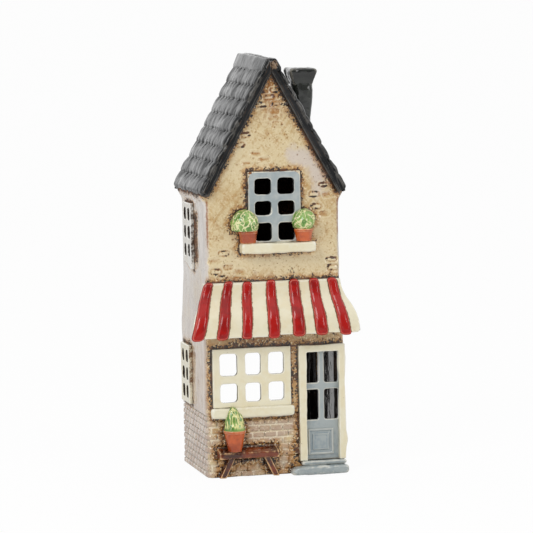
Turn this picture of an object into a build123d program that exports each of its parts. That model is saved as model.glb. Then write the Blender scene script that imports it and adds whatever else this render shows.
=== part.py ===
from build123d import *
import os
from math import cos, radians, sin, tan

# Slab-built ceramic village house: a tall, narrow shop under a steep tiled roof, lit by a tealight.
# Clay slabs make the shell, and strips, frames, pots and a bench are luted onto it before firing.
# Millimetres. X runs along the shop front, Y from the front to the back, Z up from the table.
# The origin is the middle of the base.

# Shop front, from left to right
SHOP_MARGIN = 4.4
SHOP_WIDTH = 53.6
PIER_WIDTH = 6.2
DOOR_CASE_WIDTH = 31.4
DOOR_MARGIN = 0.6

# Shop front, from the table up
PLINTH_HEIGHT = 40.7
SHOP_SILL_HEIGHT = 7.1
SHOP_HEIGHT = 39.5
FASCIA_HEIGHT = 9.6
AWNING_HEIGHT = 34.5
BAND_HEIGHT = 19.2
UPPER_SILL_HEIGHT = 7.0
UPPER_HEIGHT = 47.1
EAVE_ABOVE_SILL = 33.1

# Shell
HOUSE_DEPTH = 76.0
WALL = 5.0
FLOOR = 6.0
STOREY_STEP = 2.0
ARCH_WIDTH = 60.0
ARCH_SPRING = 66.0

# Roof
ROOF_PITCH = 61.3
ROOF_SLAB = 2.8
VERGE_OVERHANG = 4.0
EAVE_OVERHANG = 0.5
RIDGE_FLAT_DROP = 3.6
RIDGE_CAP = 2.5
RIDGE_RUN = 10.0
RIDGE_ROUND = 5.8
TILE_COURSES = 8
TILE_BUTT = 2.4
TILE_HEAD = 1.0
TILES_PER_COURSE = 8
TILE_JOINT = 0.8
TILE_JOINT_SHARE = 0.35

# Chimney
CHIMNEY_X = 30.5
CHIMNEY_FOOT = 9.5
CHIMNEY_HEAD = 14.6
CHIMNEY_CORNER = 3.0
CHIMNEY_BELOW_RIDGE = 9.1
COLLAR_SIDE = 19.0
COLLAR_FLARE = 4.5
COLLAR_LIP = 3.5
FLUE = 6.4
CHIMNEY_GAP = 0.3

# Awning
AWNING_SHIFT = -2.2
AWNING_REACH = 13.0
AWNING_TOP_LIP = 1.5
AWNING_FLARE = 10.3
AWNING_LUG = 1.5
AWNING_SLAB = 4.0
RED_TOP_SHIFTS = (1.2, 0.9, 0.2, 2.7, 5.0, 5.0, 4.0)
RED_FOOT_SHIFTS = (0.3, 0.0, 0.4, 2.2, 2.9, 2.1, 1.9)
STRIPE_PAIRS = len(RED_TOP_SHIFTS)
RED_TOP_WIDTH = 7.6
RED_FOOT_WIDTH = 8.2
CREAM_LEAST = 1.2
RED_STRIPE = 1.9
CREAM_STRIPE = 1.2
STRIPE_GAP = 0.5
STRIPE_INSET = 0.8
STRIPE_DROP = 1.6
STRIPE_ROUND = 2.2
STRIPE_ROUND_SHARE = 0.35

# Windows
FRAME = 2.4
FRAME_LAP = 2.6
PANE_ROUND = 1.3
SHOP_STILE = 4.8
SHOP_BAR = 5.3
SHOP_RAIL = 3.4
SHOP_ROW_SHARES = (0.46, 0.54)
SHOP_COLUMN_SHARES = (0.36, 0.32, 0.32)
SHOP_SILL_LUG = 1.8
SHOP_SILL = 5.0
UPPER_WIDTH = 35.7
UPPER_SHIFT = 0.7
UPPER_STILE = 4.2
UPPER_BAR = 4.9
UPPER_RAIL = 4.5
UPPER_FOOT_RAIL = 1.4
UPPER_ROW_SHARES = (0.376, 0.292, 0.332)
UPPER_SILL_WIDTH = 51.0
UPPER_SILL_SHIFT = 1.7
UPPER_SILL = 9.6
SIDE_WIDTH = 25.0
SIDE_HEIGHT = 40.0
SIDE_STILE = 3.6
SIDE_BAR = 4.0
SIDE_UPPER_Y = 10.5
SIDE_UPPER_BELOW_EAVE = 8.5
SIDE_LOWER_Y = 15.5
SIDE_LOWER_ABOVE_PLINTH = 4.4
SILL_ROUND = 1.4

# Sill pots and their clipped bushes
SILL_POT_HEIGHT = 8.4
SILL_POT_TOP = 6.4
SILL_POT_FOOT = 5.2
SILL_POT_INSETS = (5.6, 7.2)
SILL_POT_STAND = 0.8
BUSH_HEIGHTS = (14.0, 13.4)
BUSH_RADII = (9.4, 7.9)
BUSH_SHIFTS = (-2.0, 0.0)

# Bench and its pot
BENCH_LEFT = 6.6
BENCH_LENGTH = 40.8
BENCH_DEPTH = 9.0
BENCH_TOP = 18.2
BENCH_SEAT = 4.4
LEG_WIDTH = 4.2
LEG_DEPTH = 4.6
LEG_SPLAY = 6.4
LEG_SHARES = (0.234, 0.819)
LEG_CLEARANCE = 0.6
BENCH_POT_SHARE = 0.283
BENCH_POT_TOP = 6.9
BENCH_POT_FOOT = 4.3
BENCH_POT_HEIGHT = 14.6
BENCH_POT_AXIS = 3.9
POT_RIM = 2.2
POT_RIM_PROUD = 0.5
CACTUS_RADIUS = 7.0
CACTUS_HEIGHT = 16.0
CACTUS_TUCK = 28.0

# Door
STEP_HEIGHT = 6.0
STEP_DEPTH = 9.0
STEP_LEFT = 7.6
THRESHOLD_HEIGHT = 3.0
THRESHOLD_DEPTH = 5.0
STEP_ROUND = 1.6
CASE = 3.0
JAMB = 4.6
HEAD = 4.8
CASE_LAP = 2.2
LEAF = 3.0
LEAF_RECESS = 0.6
LEAF_GAP = 0.1
LEAF_STILE = 2.0
LEAF_BAR = 3.8
LEAF_RAIL = 4.6
LEAF_TOP_RAIL = 3.0
LEAF_PANE_HEIGHT = 20.4
PANEL_WIDTH = 17.4
PANEL_HEIGHT = 17.4
PANEL_RISE = 3.6
PANEL_SHIFT = -1.3
PANEL_RING = 2.0
PANEL_GROOVE = 1.4
PANEL_BASE = 0.4
PANEL_PROUD = 1.0

# Tealight
CUP_RADIUS = 19.0
CUP_HEIGHT = 16.0
CUP_WALL = 0.5
WAX_HEIGHT = 12.0
WAX_GAP = 0.1
WICK_RADIUS = 0.7
WICK_PROUD = 7.0
WICK_GAP = 0.05
TAB_RADIUS = 6.0
TAB_SHEET = 0.4
TAB_NECK_RADIUS = 1.6
TAB_NECK = 3.0

# Room that a cutting tool runs past what it cuts
OVERRUN = 3.0

# Places that follow from the sizes above
HOUSE_WIDTH = SHOP_MARGIN + SHOP_WIDTH + PIER_WIDTH + DOOR_CASE_WIDTH + DOOR_MARGIN
LOWER_HALF = HOUSE_WIDTH / 2
UPPER_HALF = LOWER_HALF - STOREY_STEP
FRONT = -HOUSE_DEPTH / 2
BACK = HOUSE_DEPTH / 2
SHOP_Z = PLINTH_HEIGHT + SHOP_SILL_HEIGHT
AWNING_Z = SHOP_Z + SHOP_HEIGHT + FASCIA_HEIGHT
AWNING_TOP = AWNING_Z + AWNING_HEIGHT
AWNING_HALF = UPPER_HALF + AWNING_LUG
UPPER_SILL_Z = AWNING_TOP + BAND_HEIGHT
UPPER_Z = UPPER_SILL_Z + UPPER_SILL_HEIGHT
EAVE_Z = UPPER_Z + EAVE_ABOVE_SILL
PITCH = radians(ROOF_PITCH)
GABLE_Z = EAVE_Z + UPPER_HALF * tan(PITCH)
SLAB_APEX_Z = GABLE_Z + ROOF_SLAB / cos(PITCH)
SHOP_X = -LOWER_HALF + SHOP_MARGIN + SHOP_WIDTH / 2
CASE_X = LOWER_HALF - DOOR_MARGIN - DOOR_CASE_WIDTH / 2
SILL_X = UPPER_SILL_SHIFT
CASE_Z = STEP_HEIGHT + THRESHOLD_HEIGHT
CASE_HEIGHT = SHOP_Z + SHOP_HEIGHT - CASE_Z
DOORWAY_WIDTH = DOOR_CASE_WIDTH - 2 * JAMB + 2 * CASE_LAP
DOORWAY_HEIGHT = CASE_HEIGHT - HEAD + CASE_LAP
SIDE_UPPER_Z = EAVE_Z - SIDE_UPPER_BELOW_EAVE - SIDE_HEIGHT / 2
SIDE_LOWER_Z = PLINTH_HEIGHT + SIDE_LOWER_ABOVE_PLINTH + SIDE_HEIGHT / 2
CHIMNEY_TOP = SLAB_APEX_Z - CHIMNEY_BELOW_RIDGE
LEFT, RIGHT = -1, 1
QUARTER_TURN = 90
SECTION = Plane(origin=(0, 0, 0), x_dir=(0, -1, 0), z_dir=(-1, 0, 0))


def block(x0, x1, y0, y1, z0, z1):
    """Box between two limits on each axis."""
    centre = Pos((x0 + x1) / 2, (y0 + y1) / 2, (z0 + z1) / 2)
    return centre * Box(x1 - x0, y1 - y0, z1 - z0)


def raised(sketch, y_face, thickness):
    """Sketch in (x, z), raised forwards from the plane y = y_face."""
    return extrude(Plane.XZ.offset(-y_face) * sketch, amount=thickness)


def raised_side(sketch, x_face, thickness, side):
    """Sketch in (y, z), raised outwards from the side plane at x_face."""
    return extrude(Plane.YZ.offset(side * x_face) * sketch, amount=side * thickness)


def along_depth(outline, y0, y1):
    """Prism with an outline of (x, z) points, from y0 to y1."""
    return raised(make_face(Polyline(*outline, close=True)), y1, y1 - y0)


def shares_to_spans(total, bar, shares):
    """(start, length) of openings that share a total length, with a bar between each two."""
    free = total - bar * (len(shares) - 1)
    spans = []
    start = 0
    for share in shares:
        spans.append((start, free * share))
        start += free * share + bar
    return spans


def pane_field(columns, rows):
    """Rounded panes at every crossing of the column and row spans."""
    panes = []
    for x, width in columns:
        for z, height in rows:
            panes.append(Pos(x + width / 2, z + height / 2) * RectangleRounded(width, height, PANE_ROUND))
    return panes


def window_sketch(width, height, stile, rail, foot_rail, bar, column_shares, row_shares):
    """Glazed frame drawn about its own centre."""
    columns = shares_to_spans(width - 2 * stile, bar, column_shares)
    rows = shares_to_spans(height - rail - foot_rail, bar, row_shares)
    panes = Sketch() + pane_field(columns, rows)
    return Rectangle(width, height) - Pos(stile - width / 2, foot_rail - height / 2) * panes


def even_shares(count):
    """Equal shares of one."""
    return (1 / count,) * count


def shop_window_sketch():
    return window_sketch(
        SHOP_WIDTH,
        SHOP_HEIGHT,
        SHOP_STILE,
        SHOP_RAIL,
        SHOP_RAIL,
        SHOP_BAR,
        SHOP_COLUMN_SHARES,
        SHOP_ROW_SHARES,
    )


def upper_window_sketch():
    return window_sketch(
        UPPER_WIDTH,
        UPPER_HEIGHT,
        UPPER_STILE,
        UPPER_RAIL,
        UPPER_FOOT_RAIL,
        UPPER_BAR,
        even_shares(2),
        UPPER_ROW_SHARES,
    )


def side_window_sketch():
    return window_sketch(
        SIDE_WIDTH, SIDE_HEIGHT, SIDE_STILE, SIDE_STILE, SIDE_STILE, SIDE_BAR, even_shares(2), even_shares(3)
    )


def wall_hole(width, height):
    """Opening behind a frame that laps the wall all round."""
    return Rectangle(width - 2 * FRAME_LAP, height - 2 * FRAME_LAP)


# Shell


def gable_outline():
    """Front and back elevation: a wider shop storey, a set-in upper storey and the gable."""
    right_edge = [
        (LOWER_HALF, 0),
        (LOWER_HALF, AWNING_Z),
        (UPPER_HALF, AWNING_TOP),
        (UPPER_HALF, EAVE_Z),
    ]
    left_edge = [(-x, z) for x, z in reversed(right_edge)]
    return right_edge + [(0, GABLE_Z)] + left_edge


def front_wall():
    wall = along_depth(gable_outline(), FRONT, FRONT + WALL)
    holes = [
        Pos(SHOP_X, SHOP_Z + SHOP_HEIGHT / 2) * wall_hole(SHOP_WIDTH, SHOP_HEIGHT),
        Pos(UPPER_SHIFT, UPPER_Z + UPPER_HEIGHT / 2) * wall_hole(UPPER_WIDTH, UPPER_HEIGHT),
        Pos(CASE_X, CASE_Z + DOORWAY_HEIGHT / 2) * Rectangle(DOORWAY_WIDTH, DOORWAY_HEIGHT),
    ]
    for hole in holes:
        wall -= raised(hole, FRONT + WALL + OVERRUN, WALL + 2 * OVERRUN)
    return wall


def back_wall():
    """Gable wall with the arch that a tealight goes in through."""
    wall = along_depth(gable_outline(), BACK - WALL, BACK)
    leg = Pos(0, FLOOR + ARCH_SPRING / 2) * Rectangle(ARCH_WIDTH, ARCH_SPRING)
    crown = Pos(0, FLOOR + ARCH_SPRING) * Circle(ARCH_WIDTH / 2)
    return wall - raised(leg + crown, BACK + OVERRUN, WALL + 2 * OVERRUN)


def side_wall(side):
    """Side slab between the gable walls, stepped like them and bevelled to carry the roof."""
    outline = [
        (LOWER_HALF, 0),
        (LOWER_HALF, AWNING_Z),
        (UPPER_HALF, AWNING_TOP),
        (UPPER_HALF, EAVE_Z),
        (UPPER_HALF - WALL, EAVE_Z + WALL * tan(PITCH)),
        (UPPER_HALF - WALL, AWNING_TOP),
        (LOWER_HALF - WALL, AWNING_Z),
        (LOWER_HALF - WALL, 0),
    ]
    wall = along_depth([(side * x, z) for x, z in outline], FRONT + WALL, BACK - WALL)
    reach = WALL + STOREY_STEP + 2 * OVERRUN
    for y, z in ((SIDE_UPPER_Y, SIDE_UPPER_Z), (SIDE_LOWER_Y, SIDE_LOWER_Z)):
        hole = Pos(y, z) * wall_hole(SIDE_WIDTH, SIDE_HEIGHT)
        wall -= raised_side(hole, LOWER_HALF + OVERRUN - reach, reach, side)
    return wall


def floor_slab():
    half = LOWER_HALF - WALL
    return block(-half, half, FRONT + WALL, BACK - WALL, 0, FLOOR)


# Roof


def slope_frame():
    """Frame on the right roof slab: x along the house, y up the slope, z out of the roof."""
    eave_x = UPPER_HALF + EAVE_OVERHANG * cos(PITCH) + ROOF_SLAB * sin(PITCH)
    eave_z = EAVE_Z - EAVE_OVERHANG * sin(PITCH) + ROOF_SLAB * cos(PITCH)
    return Plane(origin=(eave_x, 0, eave_z), x_dir=(0, 1, 0), z_dir=(sin(PITCH), 0, cos(PITCH)))


def slope_length():
    """From the eave to the sharp apex of the slabs, up the outer face."""
    return (UPPER_HALF / cos(PITCH)) + EAVE_OVERHANG + ROOF_SLAB * tan(PITCH)


def roof_width():
    return HOUSE_DEPTH + 2 * VERGE_OVERHANG


def slope_prism(outline):
    """Prism across the roof with an outline of (up the slope, out of the roof) points."""
    face = make_face(Polyline(*[(-roof_width() / 2, up, out) for up, out in outline], close=True))
    return slope_frame() * extrude(face, amount=roof_width(), dir=(1, 0, 0))


def on_side(solid, side):
    """The right-hand solid, or its mirror image for the left."""
    return solid if side == RIGHT else mirror(solid, about=Plane.YZ)


def ridge_flat_z():
    return SLAB_APEX_Z - RIDGE_FLAT_DROP


def roof_slab(side):
    """Plain slab on the gable edges, mitred at the ridge and pared flat under the ridge cap."""
    inner_eave = (UPPER_HALF + EAVE_OVERHANG * cos(PITCH), EAVE_Z - EAVE_OVERHANG * sin(PITCH))
    outer_eave = (inner_eave[0] + ROOF_SLAB * sin(PITCH), inner_eave[1] + ROOF_SLAB * cos(PITCH))
    flat_half = RIDGE_FLAT_DROP / tan(PITCH)
    outline = [(0, GABLE_Z), inner_eave, outer_eave, (flat_half, ridge_flat_z()), (0, ridge_flat_z())]
    slab = along_depth(outline, -roof_width() / 2, roof_width() / 2)
    if side == RIGHT:
        slab -= chimney_flue()
    return on_side(slab, side)


def tile_course(index):
    """One strip of tiles: thick at its butt, thin at its head, split by joints from the butt up."""
    pitch = (slope_length() - RIDGE_RUN) / TILE_COURSES
    low = pitch * index
    strip = slope_prism([(low, 0), (low, TILE_BUTT), (low + pitch, TILE_HEAD), (low + pitch, 0)])
    tile = roof_width() / TILES_PER_COURSE
    stagger = tile / 2 if index % 2 else 0
    joint_length = pitch * TILE_JOINT_SHARE
    joints = []
    for number in range(TILES_PER_COURSE):
        x = -roof_width() / 2 + stagger + tile * number
        if number or stagger:
            joint = Box(TILE_JOINT, 2 * joint_length, TILE_BUTT * 2)
            joints.append(slope_frame() * Pos(x, low, TILE_BUTT) * joint)
    return strip - joints


def roof_tiles(side):
    """All the courses of one slope, from the eave to the ridge cap."""
    courses = []
    for index in range(TILE_COURSES):
        course = tile_course(index)
        if side == RIGHT:
            course -= chimney_shaft(2 * CHIMNEY_GAP)
        courses += on_side(course, side).solids()
    return Compound(children=courses)


def ridge_cap():
    """Saddle of clay over the pared ridge, round on top."""
    flat_half = RIDGE_FLAT_DROP / tan(PITCH)
    foot_x = RIDGE_RUN * cos(PITCH)
    foot_z = SLAB_APEX_Z - RIDGE_RUN * sin(PITCH)
    outer_x = foot_x + RIDGE_CAP * sin(PITCH)
    outer_z = foot_z + RIDGE_CAP * cos(PITCH)
    right = [(flat_half, ridge_flat_z()), (foot_x, foot_z), (outer_x, outer_z)]
    peak = (0, SLAB_APEX_Z + RIDGE_CAP / cos(PITCH))
    left = [(-x, z) for x, z in reversed(right)]
    profile = make_face(Polyline(*right, peak, *left, close=True))
    profile = fillet(profile.vertices().sort_by(Axis.Y)[-1], RIDGE_ROUND)
    return raised(profile, roof_width() / 2, roof_width())


# Chimney


def chimney_section(side_length, z):
    return Pos(CHIMNEY_X, 0, z) * RectangleRounded(side_length, side_length, CHIMNEY_CORNER)


def collar_z():
    return CHIMNEY_TOP - COLLAR_LIP - COLLAR_FLARE


def chimney_shaft(extra):
    """Tapered square shaft from inside the roof up to the collar, wider by extra."""
    foot = chimney_section(CHIMNEY_FOOT + extra, EAVE_Z)
    head = chimney_section(CHIMNEY_HEAD + extra, collar_z())
    return loft([foot, head])


def chimney_flue():
    """The way out for the heat, from the house to the chimney's mouth."""
    half = FLUE / 2
    return block(CHIMNEY_X - half, CHIMNEY_X + half, -half, half, EAVE_Z, CHIMNEY_TOP + OVERRUN)


def chimney_stack():
    """Hollow shaft that stands on the right roof slab."""
    below = slope_length() + OVERRUN
    under_slab = slope_frame() * Pos(0, 0, -below / 2) * Box(2 * below, 2 * below, below)
    return chimney_shaft(0) - under_slab - chimney_flue()


def chimney_collar():
    """Flared collar and lip on top of the stack."""
    low = chimney_section(CHIMNEY_HEAD, collar_z())
    wide = chimney_section(COLLAR_SIDE, collar_z() + COLLAR_FLARE)
    lip = extrude(wide, amount=COLLAR_LIP)
    lip = fillet(lip.edges().group_by(Axis.Z)[-1], CHIMNEY_CORNER / 2)
    return loft([low, wide]) + lip - chimney_flue()


# Awning


def s_curve(start, end):
    """Two tangent arcs from start to end, upright at both ends."""
    middle = ((start[0] + end[0]) / 2, (start[1] + end[1]) / 2)
    first = TangentArc(start, middle, tangent=(0, -1))
    second = TangentArc(middle, end, tangent=first % 1)
    return [first, second]


def awning_radius():
    """Radius of the two arcs of the awning's outer face."""
    reach = AWNING_REACH - AWNING_TOP_LIP
    return (AWNING_HEIGHT**2 + reach**2) / (4 * reach)


def awning_line(out):
    """(forwards, z) edges of a line at a distance out from the awning's outer face."""
    radius = awning_radius()
    angle = AWNING_HEIGHT / 2 / radius
    middle_p = (AWNING_REACH + AWNING_TOP_LIP) / 2 + out * (1 - angle**2) ** 0.5
    middle_z = AWNING_Z + AWNING_HEIGHT / 2 + out * angle
    top = (AWNING_TOP_LIP + out, AWNING_TOP)
    foot = (AWNING_REACH + out, AWNING_Z)
    first = TangentArc(top, (middle_p, middle_z), tangent=(0, -1))
    second = TangentArc((middle_p, middle_z), foot, tangent=first % 1)
    drop = Line(foot, (AWNING_REACH + out, AWNING_Z - STRIPE_DROP))
    return [first, second, drop]


def awning_sheet(inner, outer):
    """Curved sheet between two distances from the awning's outer face, wider than the house."""
    inside, outside = awning_line(inner), awning_line(outer)
    top = Line(inside[0] @ 0, outside[0] @ 0)
    foot = Line(inside[-1] @ 1, outside[-1] @ 1)
    section = make_face([*inside, *outside, top, foot])
    return Pos(-HOUSE_WIDTH, FRONT, 0) * extrude(SECTION * section, amount=-2 * HOUSE_WIDTH)


def awning_front_outline():
    """Elevation of the awning: a little wider than the wall on top, flared like a bell to its foot."""
    top_left, top_right = (AWNING_SHIFT - AWNING_HALF, AWNING_TOP), (AWNING_SHIFT + AWNING_HALF, AWNING_TOP)
    low_left = (AWNING_SHIFT - AWNING_HALF - AWNING_FLARE, AWNING_Z)
    low_right = (AWNING_SHIFT + AWNING_HALF + AWNING_FLARE, AWNING_Z)
    drop_left = (low_left[0], AWNING_Z - STRIPE_DROP)
    drop_right = (low_right[0], AWNING_Z - STRIPE_DROP)
    edges = [Line(top_left, top_right), *s_curve(top_right, low_right), Line(low_right, drop_right)]
    edges += [Line(drop_right, drop_left), Line(drop_left, low_left), *s_curve(top_left, low_left)]
    return make_face(edges)


def awning_layer(inner, outer):
    """Sheet trimmed to the awning's elevation, in front of the wall."""
    bell = raised(awning_front_outline(), FRONT, AWNING_REACH + OVERRUN + outer)
    return awning_sheet(inner, outer) & bell


def awning_slab():
    sheet = awning_layer(-AWNING_SLAB, 0)
    reach = AWNING_REACH + OVERRUN
    below = block(-HOUSE_WIDTH, HOUSE_WIDTH, FRONT - reach, FRONT, AWNING_Z - 2 * STRIPE_DROP, AWNING_Z)
    return sheet - below


def awning_half_at(z_share):
    """Half the awning's width, at a share of the way from its foot to its top."""
    return AWNING_HALF + AWNING_FLARE * (1 - z_share)


def red_edges(pair, z_share):
    """x of a red stripe's two edges: an even place, moved as the potter laid it."""
    half = awning_half_at(z_share)
    even = AWNING_SHIFT - half + half * (2 * pair + 1 / 2) / STRIPE_PAIRS
    shift = RED_FOOT_SHIFTS[pair] + (RED_TOP_SHIFTS[pair] - RED_FOOT_SHIFTS[pair]) * z_share
    width = RED_FOOT_WIDTH + (RED_TOP_WIDTH - RED_FOOT_WIDTH) * z_share
    return even + shift - width / 2, even + shift + width / 2


def cream_edges(pair, z_share):
    """x of a cream stripe's two edges: between two red ones, or to the awning's end."""
    left = red_edges(pair, z_share)[1] + STRIPE_GAP
    if pair + 1 < STRIPE_PAIRS:
        right = red_edges(pair + 1, z_share)[0] - STRIPE_GAP
    else:
        right = AWNING_SHIFT + awning_half_at(z_share) - STRIPE_GAP
    return left, max(right, left + CREAM_LEAST)


def awning_stripe(edges, pair, thickness):
    """One strip of clay down the awning, round at both ends."""
    top, foot = AWNING_TOP - STRIPE_INSET, AWNING_Z - STRIPE_DROP
    top_left, top_right = edges(pair, 1 - STRIPE_INSET / AWNING_HEIGHT)
    foot_left, foot_right = edges(pair, 0)
    outline = [(top_left, top), (top_right, top), (foot_right, foot), (foot_left, foot)]
    face = make_face(Polyline(*outline, close=True))
    narrowest = min(top_right - top_left, foot_right - foot_left)
    face = fillet(face.vertices(), min(STRIPE_ROUND, narrowest * STRIPE_ROUND_SHARE))
    strip = raised(face, FRONT, AWNING_REACH + OVERRUN + thickness)
    return awning_layer(0, thickness) & strip


# Windows


def shop_window_frame():
    return raised(Pos(SHOP_X, SHOP_Z + SHOP_HEIGHT / 2) * shop_window_sketch(), FRONT, FRAME)


def upper_window_frame():
    return raised(Pos(UPPER_SHIFT, UPPER_Z + UPPER_HEIGHT / 2) * upper_window_sketch(), FRONT, FRAME)


def sill(centre_x, low_z, width, height, depth):
    """Ledge under a window, rounded along its front."""
    ledge = raised(Pos(centre_x, low_z + height / 2) * Rectangle(width, height), FRONT, depth)
    return fillet(ledge.faces().sort_by(Axis.Y)[0].edges(), SILL_ROUND)


def shop_window_sill():
    return sill(SHOP_X, PLINTH_HEIGHT, SHOP_WIDTH + 2 * SHOP_SILL_LUG, SHOP_SILL_HEIGHT, SHOP_SILL)


def upper_window_sill():
    return sill(SILL_X, UPPER_SILL_Z, UPPER_SILL_WIDTH, UPPER_SILL_HEIGHT, UPPER_SILL)


def side_upper_window(side):
    return raised_side(Pos(SIDE_UPPER_Y, SIDE_UPPER_Z) * side_window_sketch(), UPPER_HALF, FRAME, side)


def side_lower_window(side):
    return raised_side(Pos(SIDE_LOWER_Y, SIDE_LOWER_Z) * side_window_sketch(), LOWER_HALF, FRAME, side)


# Pots and plants


def behind_wall_face(x, reach, z0, z1):
    """Everything behind the front wall's face, about x."""
    return block(x - reach, x + reach, FRONT, FRONT + 2 * reach, z0, z1)


def upper_frame_block():
    """The space that the upper window frame takes."""
    half = UPPER_WIDTH / 2
    return block(
        UPPER_SHIFT - half, UPPER_SHIFT + half, FRONT - FRAME, FRONT, UPPER_Z, UPPER_Z + UPPER_HEIGHT
    )


def shop_sill_block():
    """The space that the shop window sill takes."""
    half = SHOP_WIDTH / 2 + SHOP_SILL_LUG
    return block(SHOP_X - half, SHOP_X + half, FRONT - SHOP_SILL, FRONT, PLINTH_HEIGHT, SHOP_Z)


def shop_frame_block():
    """The space that the shop window frame takes."""
    half = SHOP_WIDTH / 2
    return block(SHOP_X - half, SHOP_X + half, FRONT - FRAME, FRONT, SHOP_Z, SHOP_Z + SHOP_HEIGHT)


def pot(top, foot, height):
    """Flowerpot that stands on the origin."""
    return Pos(0, 0, height / 2) * Rot(0, 0, -QUARTER_TURN) * Cone(foot, top, height)


def clipped_ball(radius, height):
    """Bush clipped round and cut flat below its widest point, on the origin."""
    ball = Pos(0, 0, height - radius) * Rot(0, 0, -QUARTER_TURN) * Sphere(radius)
    return ball - block(-radius, radius, -radius, radius, -2 * radius, 0)


def dome(radius, height, tuck):
    """Tall plant: an upright ellipsoid cut flat below its widest point, on the origin."""
    tucked = sin(radians(tuck))
    rise = height / (1 + tucked)
    middle = height - rise
    crown = EllipticalCenterArc((0, middle), radius, rise, start_angle=-tuck, arc_size=QUARTER_TURN + tuck)
    foot = Line((0, 0), crown @ 0)
    axis = Line(crown @ 1, (0, 0))
    return revolve(SECTION * make_face([crown, foot, axis]), Axis.Z)


def sill_place(side):
    """Where a pot stands on the upper sill, with its axis just in front of the window frame."""
    x = SILL_X + side * (UPPER_SILL_WIDTH / 2 - SILL_POT_INSETS[0 if side == LEFT else 1])
    return Pos(x, FRONT - FRAME - SILL_POT_STAND, UPPER_Z), x


def set_on_wall(solid, x, reach, z0, z1):
    """Trims what would lie inside the wall or the upper window frame."""
    return solid - behind_wall_face(x, reach, z0, z1) - upper_frame_block()


def sill_pot(side):
    place, x = sill_place(side)
    shape = place * pot(SILL_POT_TOP, SILL_POT_FOOT, SILL_POT_HEIGHT)
    return set_on_wall(shape, x, 2 * SILL_POT_TOP, UPPER_SILL_Z, UPPER_Z + 2 * SILL_POT_HEIGHT)


def sill_bush(side):
    place, x = sill_place(side)
    which = 0 if side == LEFT else 1
    radius, height, shift = BUSH_RADII[which], BUSH_HEIGHTS[which], BUSH_SHIFTS[which]
    shape = place * Pos(shift, 0, SILL_POT_HEIGHT) * clipped_ball(radius, height)
    return set_on_wall(shape, x + shift, 2 * radius, UPPER_Z, UPPER_Z + SILL_POT_HEIGHT + 2 * height)


def bench_left():
    return -LOWER_HALF + BENCH_LEFT


def bench_pot_place():
    return Pos(bench_left() + BENCH_LENGTH * BENCH_POT_SHARE, FRONT - BENCH_POT_AXIS, BENCH_TOP)


def bench_pot():
    """Pot with a rim, flat at its back where it leans on the wall."""
    body = pot(BENCH_POT_TOP, BENCH_POT_FOOT, BENCH_POT_HEIGHT)
    rim = Rot(0, 0, -QUARTER_TURN) * Cylinder(BENCH_POT_TOP + POT_RIM_PROUD, POT_RIM)
    rim = Pos(0, 0, BENCH_POT_HEIGHT - POT_RIM / 2) * rim
    shape = bench_pot_place() * (body + rim)
    x = bench_left() + BENCH_LENGTH * BENCH_POT_SHARE
    return shape - behind_wall_face(x, 2 * BENCH_POT_TOP, 0, PLINTH_HEIGHT) - shop_sill_block()


def bench_cactus():
    """Cactus in the bench pot, in front of the shop window sill."""
    shape = bench_pot_place() * Pos(0, 0, BENCH_POT_HEIGHT) * dome(CACTUS_RADIUS, CACTUS_HEIGHT, CACTUS_TUCK)
    x = bench_left() + BENCH_LENGTH * BENCH_POT_SHARE
    shape -= behind_wall_face(x, 2 * CACTUS_RADIUS, 0, SHOP_Z + SHOP_HEIGHT)
    return shape - shop_sill_block() - shop_frame_block()


# Bench


def bench_seat():
    low = BENCH_TOP - BENCH_SEAT
    seat = block(bench_left(), bench_left() + BENCH_LENGTH, FRONT - BENCH_DEPTH, FRONT, low, BENCH_TOP)
    return fillet(seat.faces().sort_by(Axis.Y)[0].edges(), BENCH_SEAT / 4)


def bench_leg(side):
    """Splayed leg in relief against the wall."""
    x = bench_left() + BENCH_LENGTH * LEG_SHARES[0 if side == LEFT else 1]
    top, foot = BENCH_TOP - BENCH_SEAT, LEG_CLEARANCE
    foot_x = x + side * LEG_SPLAY
    half = LEG_WIDTH / 2
    outline = [(x - half, top), (x + half, top), (foot_x + half, foot), (foot_x - half, foot)]
    return along_depth(outline, FRONT - LEG_DEPTH, FRONT)


# Door


def doorstep():
    left = CASE_X - DOOR_CASE_WIDTH / 2 - STEP_LEFT
    step = block(left, LOWER_HALF, FRONT - STEP_DEPTH, FRONT, 0, STEP_HEIGHT)
    return fillet(step.faces().sort_by(Axis.Y)[0].edges().sort_by(Axis.Z)[-1], STEP_ROUND)


def door_threshold():
    half = DOOR_CASE_WIDTH / 2
    low, top = STEP_HEIGHT, CASE_Z
    slab = block(CASE_X - half, CASE_X + half, FRONT - THRESHOLD_DEPTH, FRONT, low, top)
    return fillet(slab.faces().sort_by(Axis.Y)[0].edges().sort_by(Axis.Z)[-1], STEP_ROUND / 2)


def door_case():
    """Jambs and head in one, lapped onto the wall round the doorway."""
    outside = Pos(CASE_X, CASE_Z + CASE_HEIGHT / 2) * Rectangle(DOOR_CASE_WIDTH, CASE_HEIGHT)
    clear_width = DOOR_CASE_WIDTH - 2 * JAMB
    clear_height = CASE_HEIGHT - HEAD
    inside = Pos(CASE_X, CASE_Z + clear_height / 2) * Rectangle(clear_width, clear_height)
    return raised(outside - inside, FRONT, CASE)


def leaf_face():
    """y of the door leaf's front."""
    return FRONT + LEAF_RECESS


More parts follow.
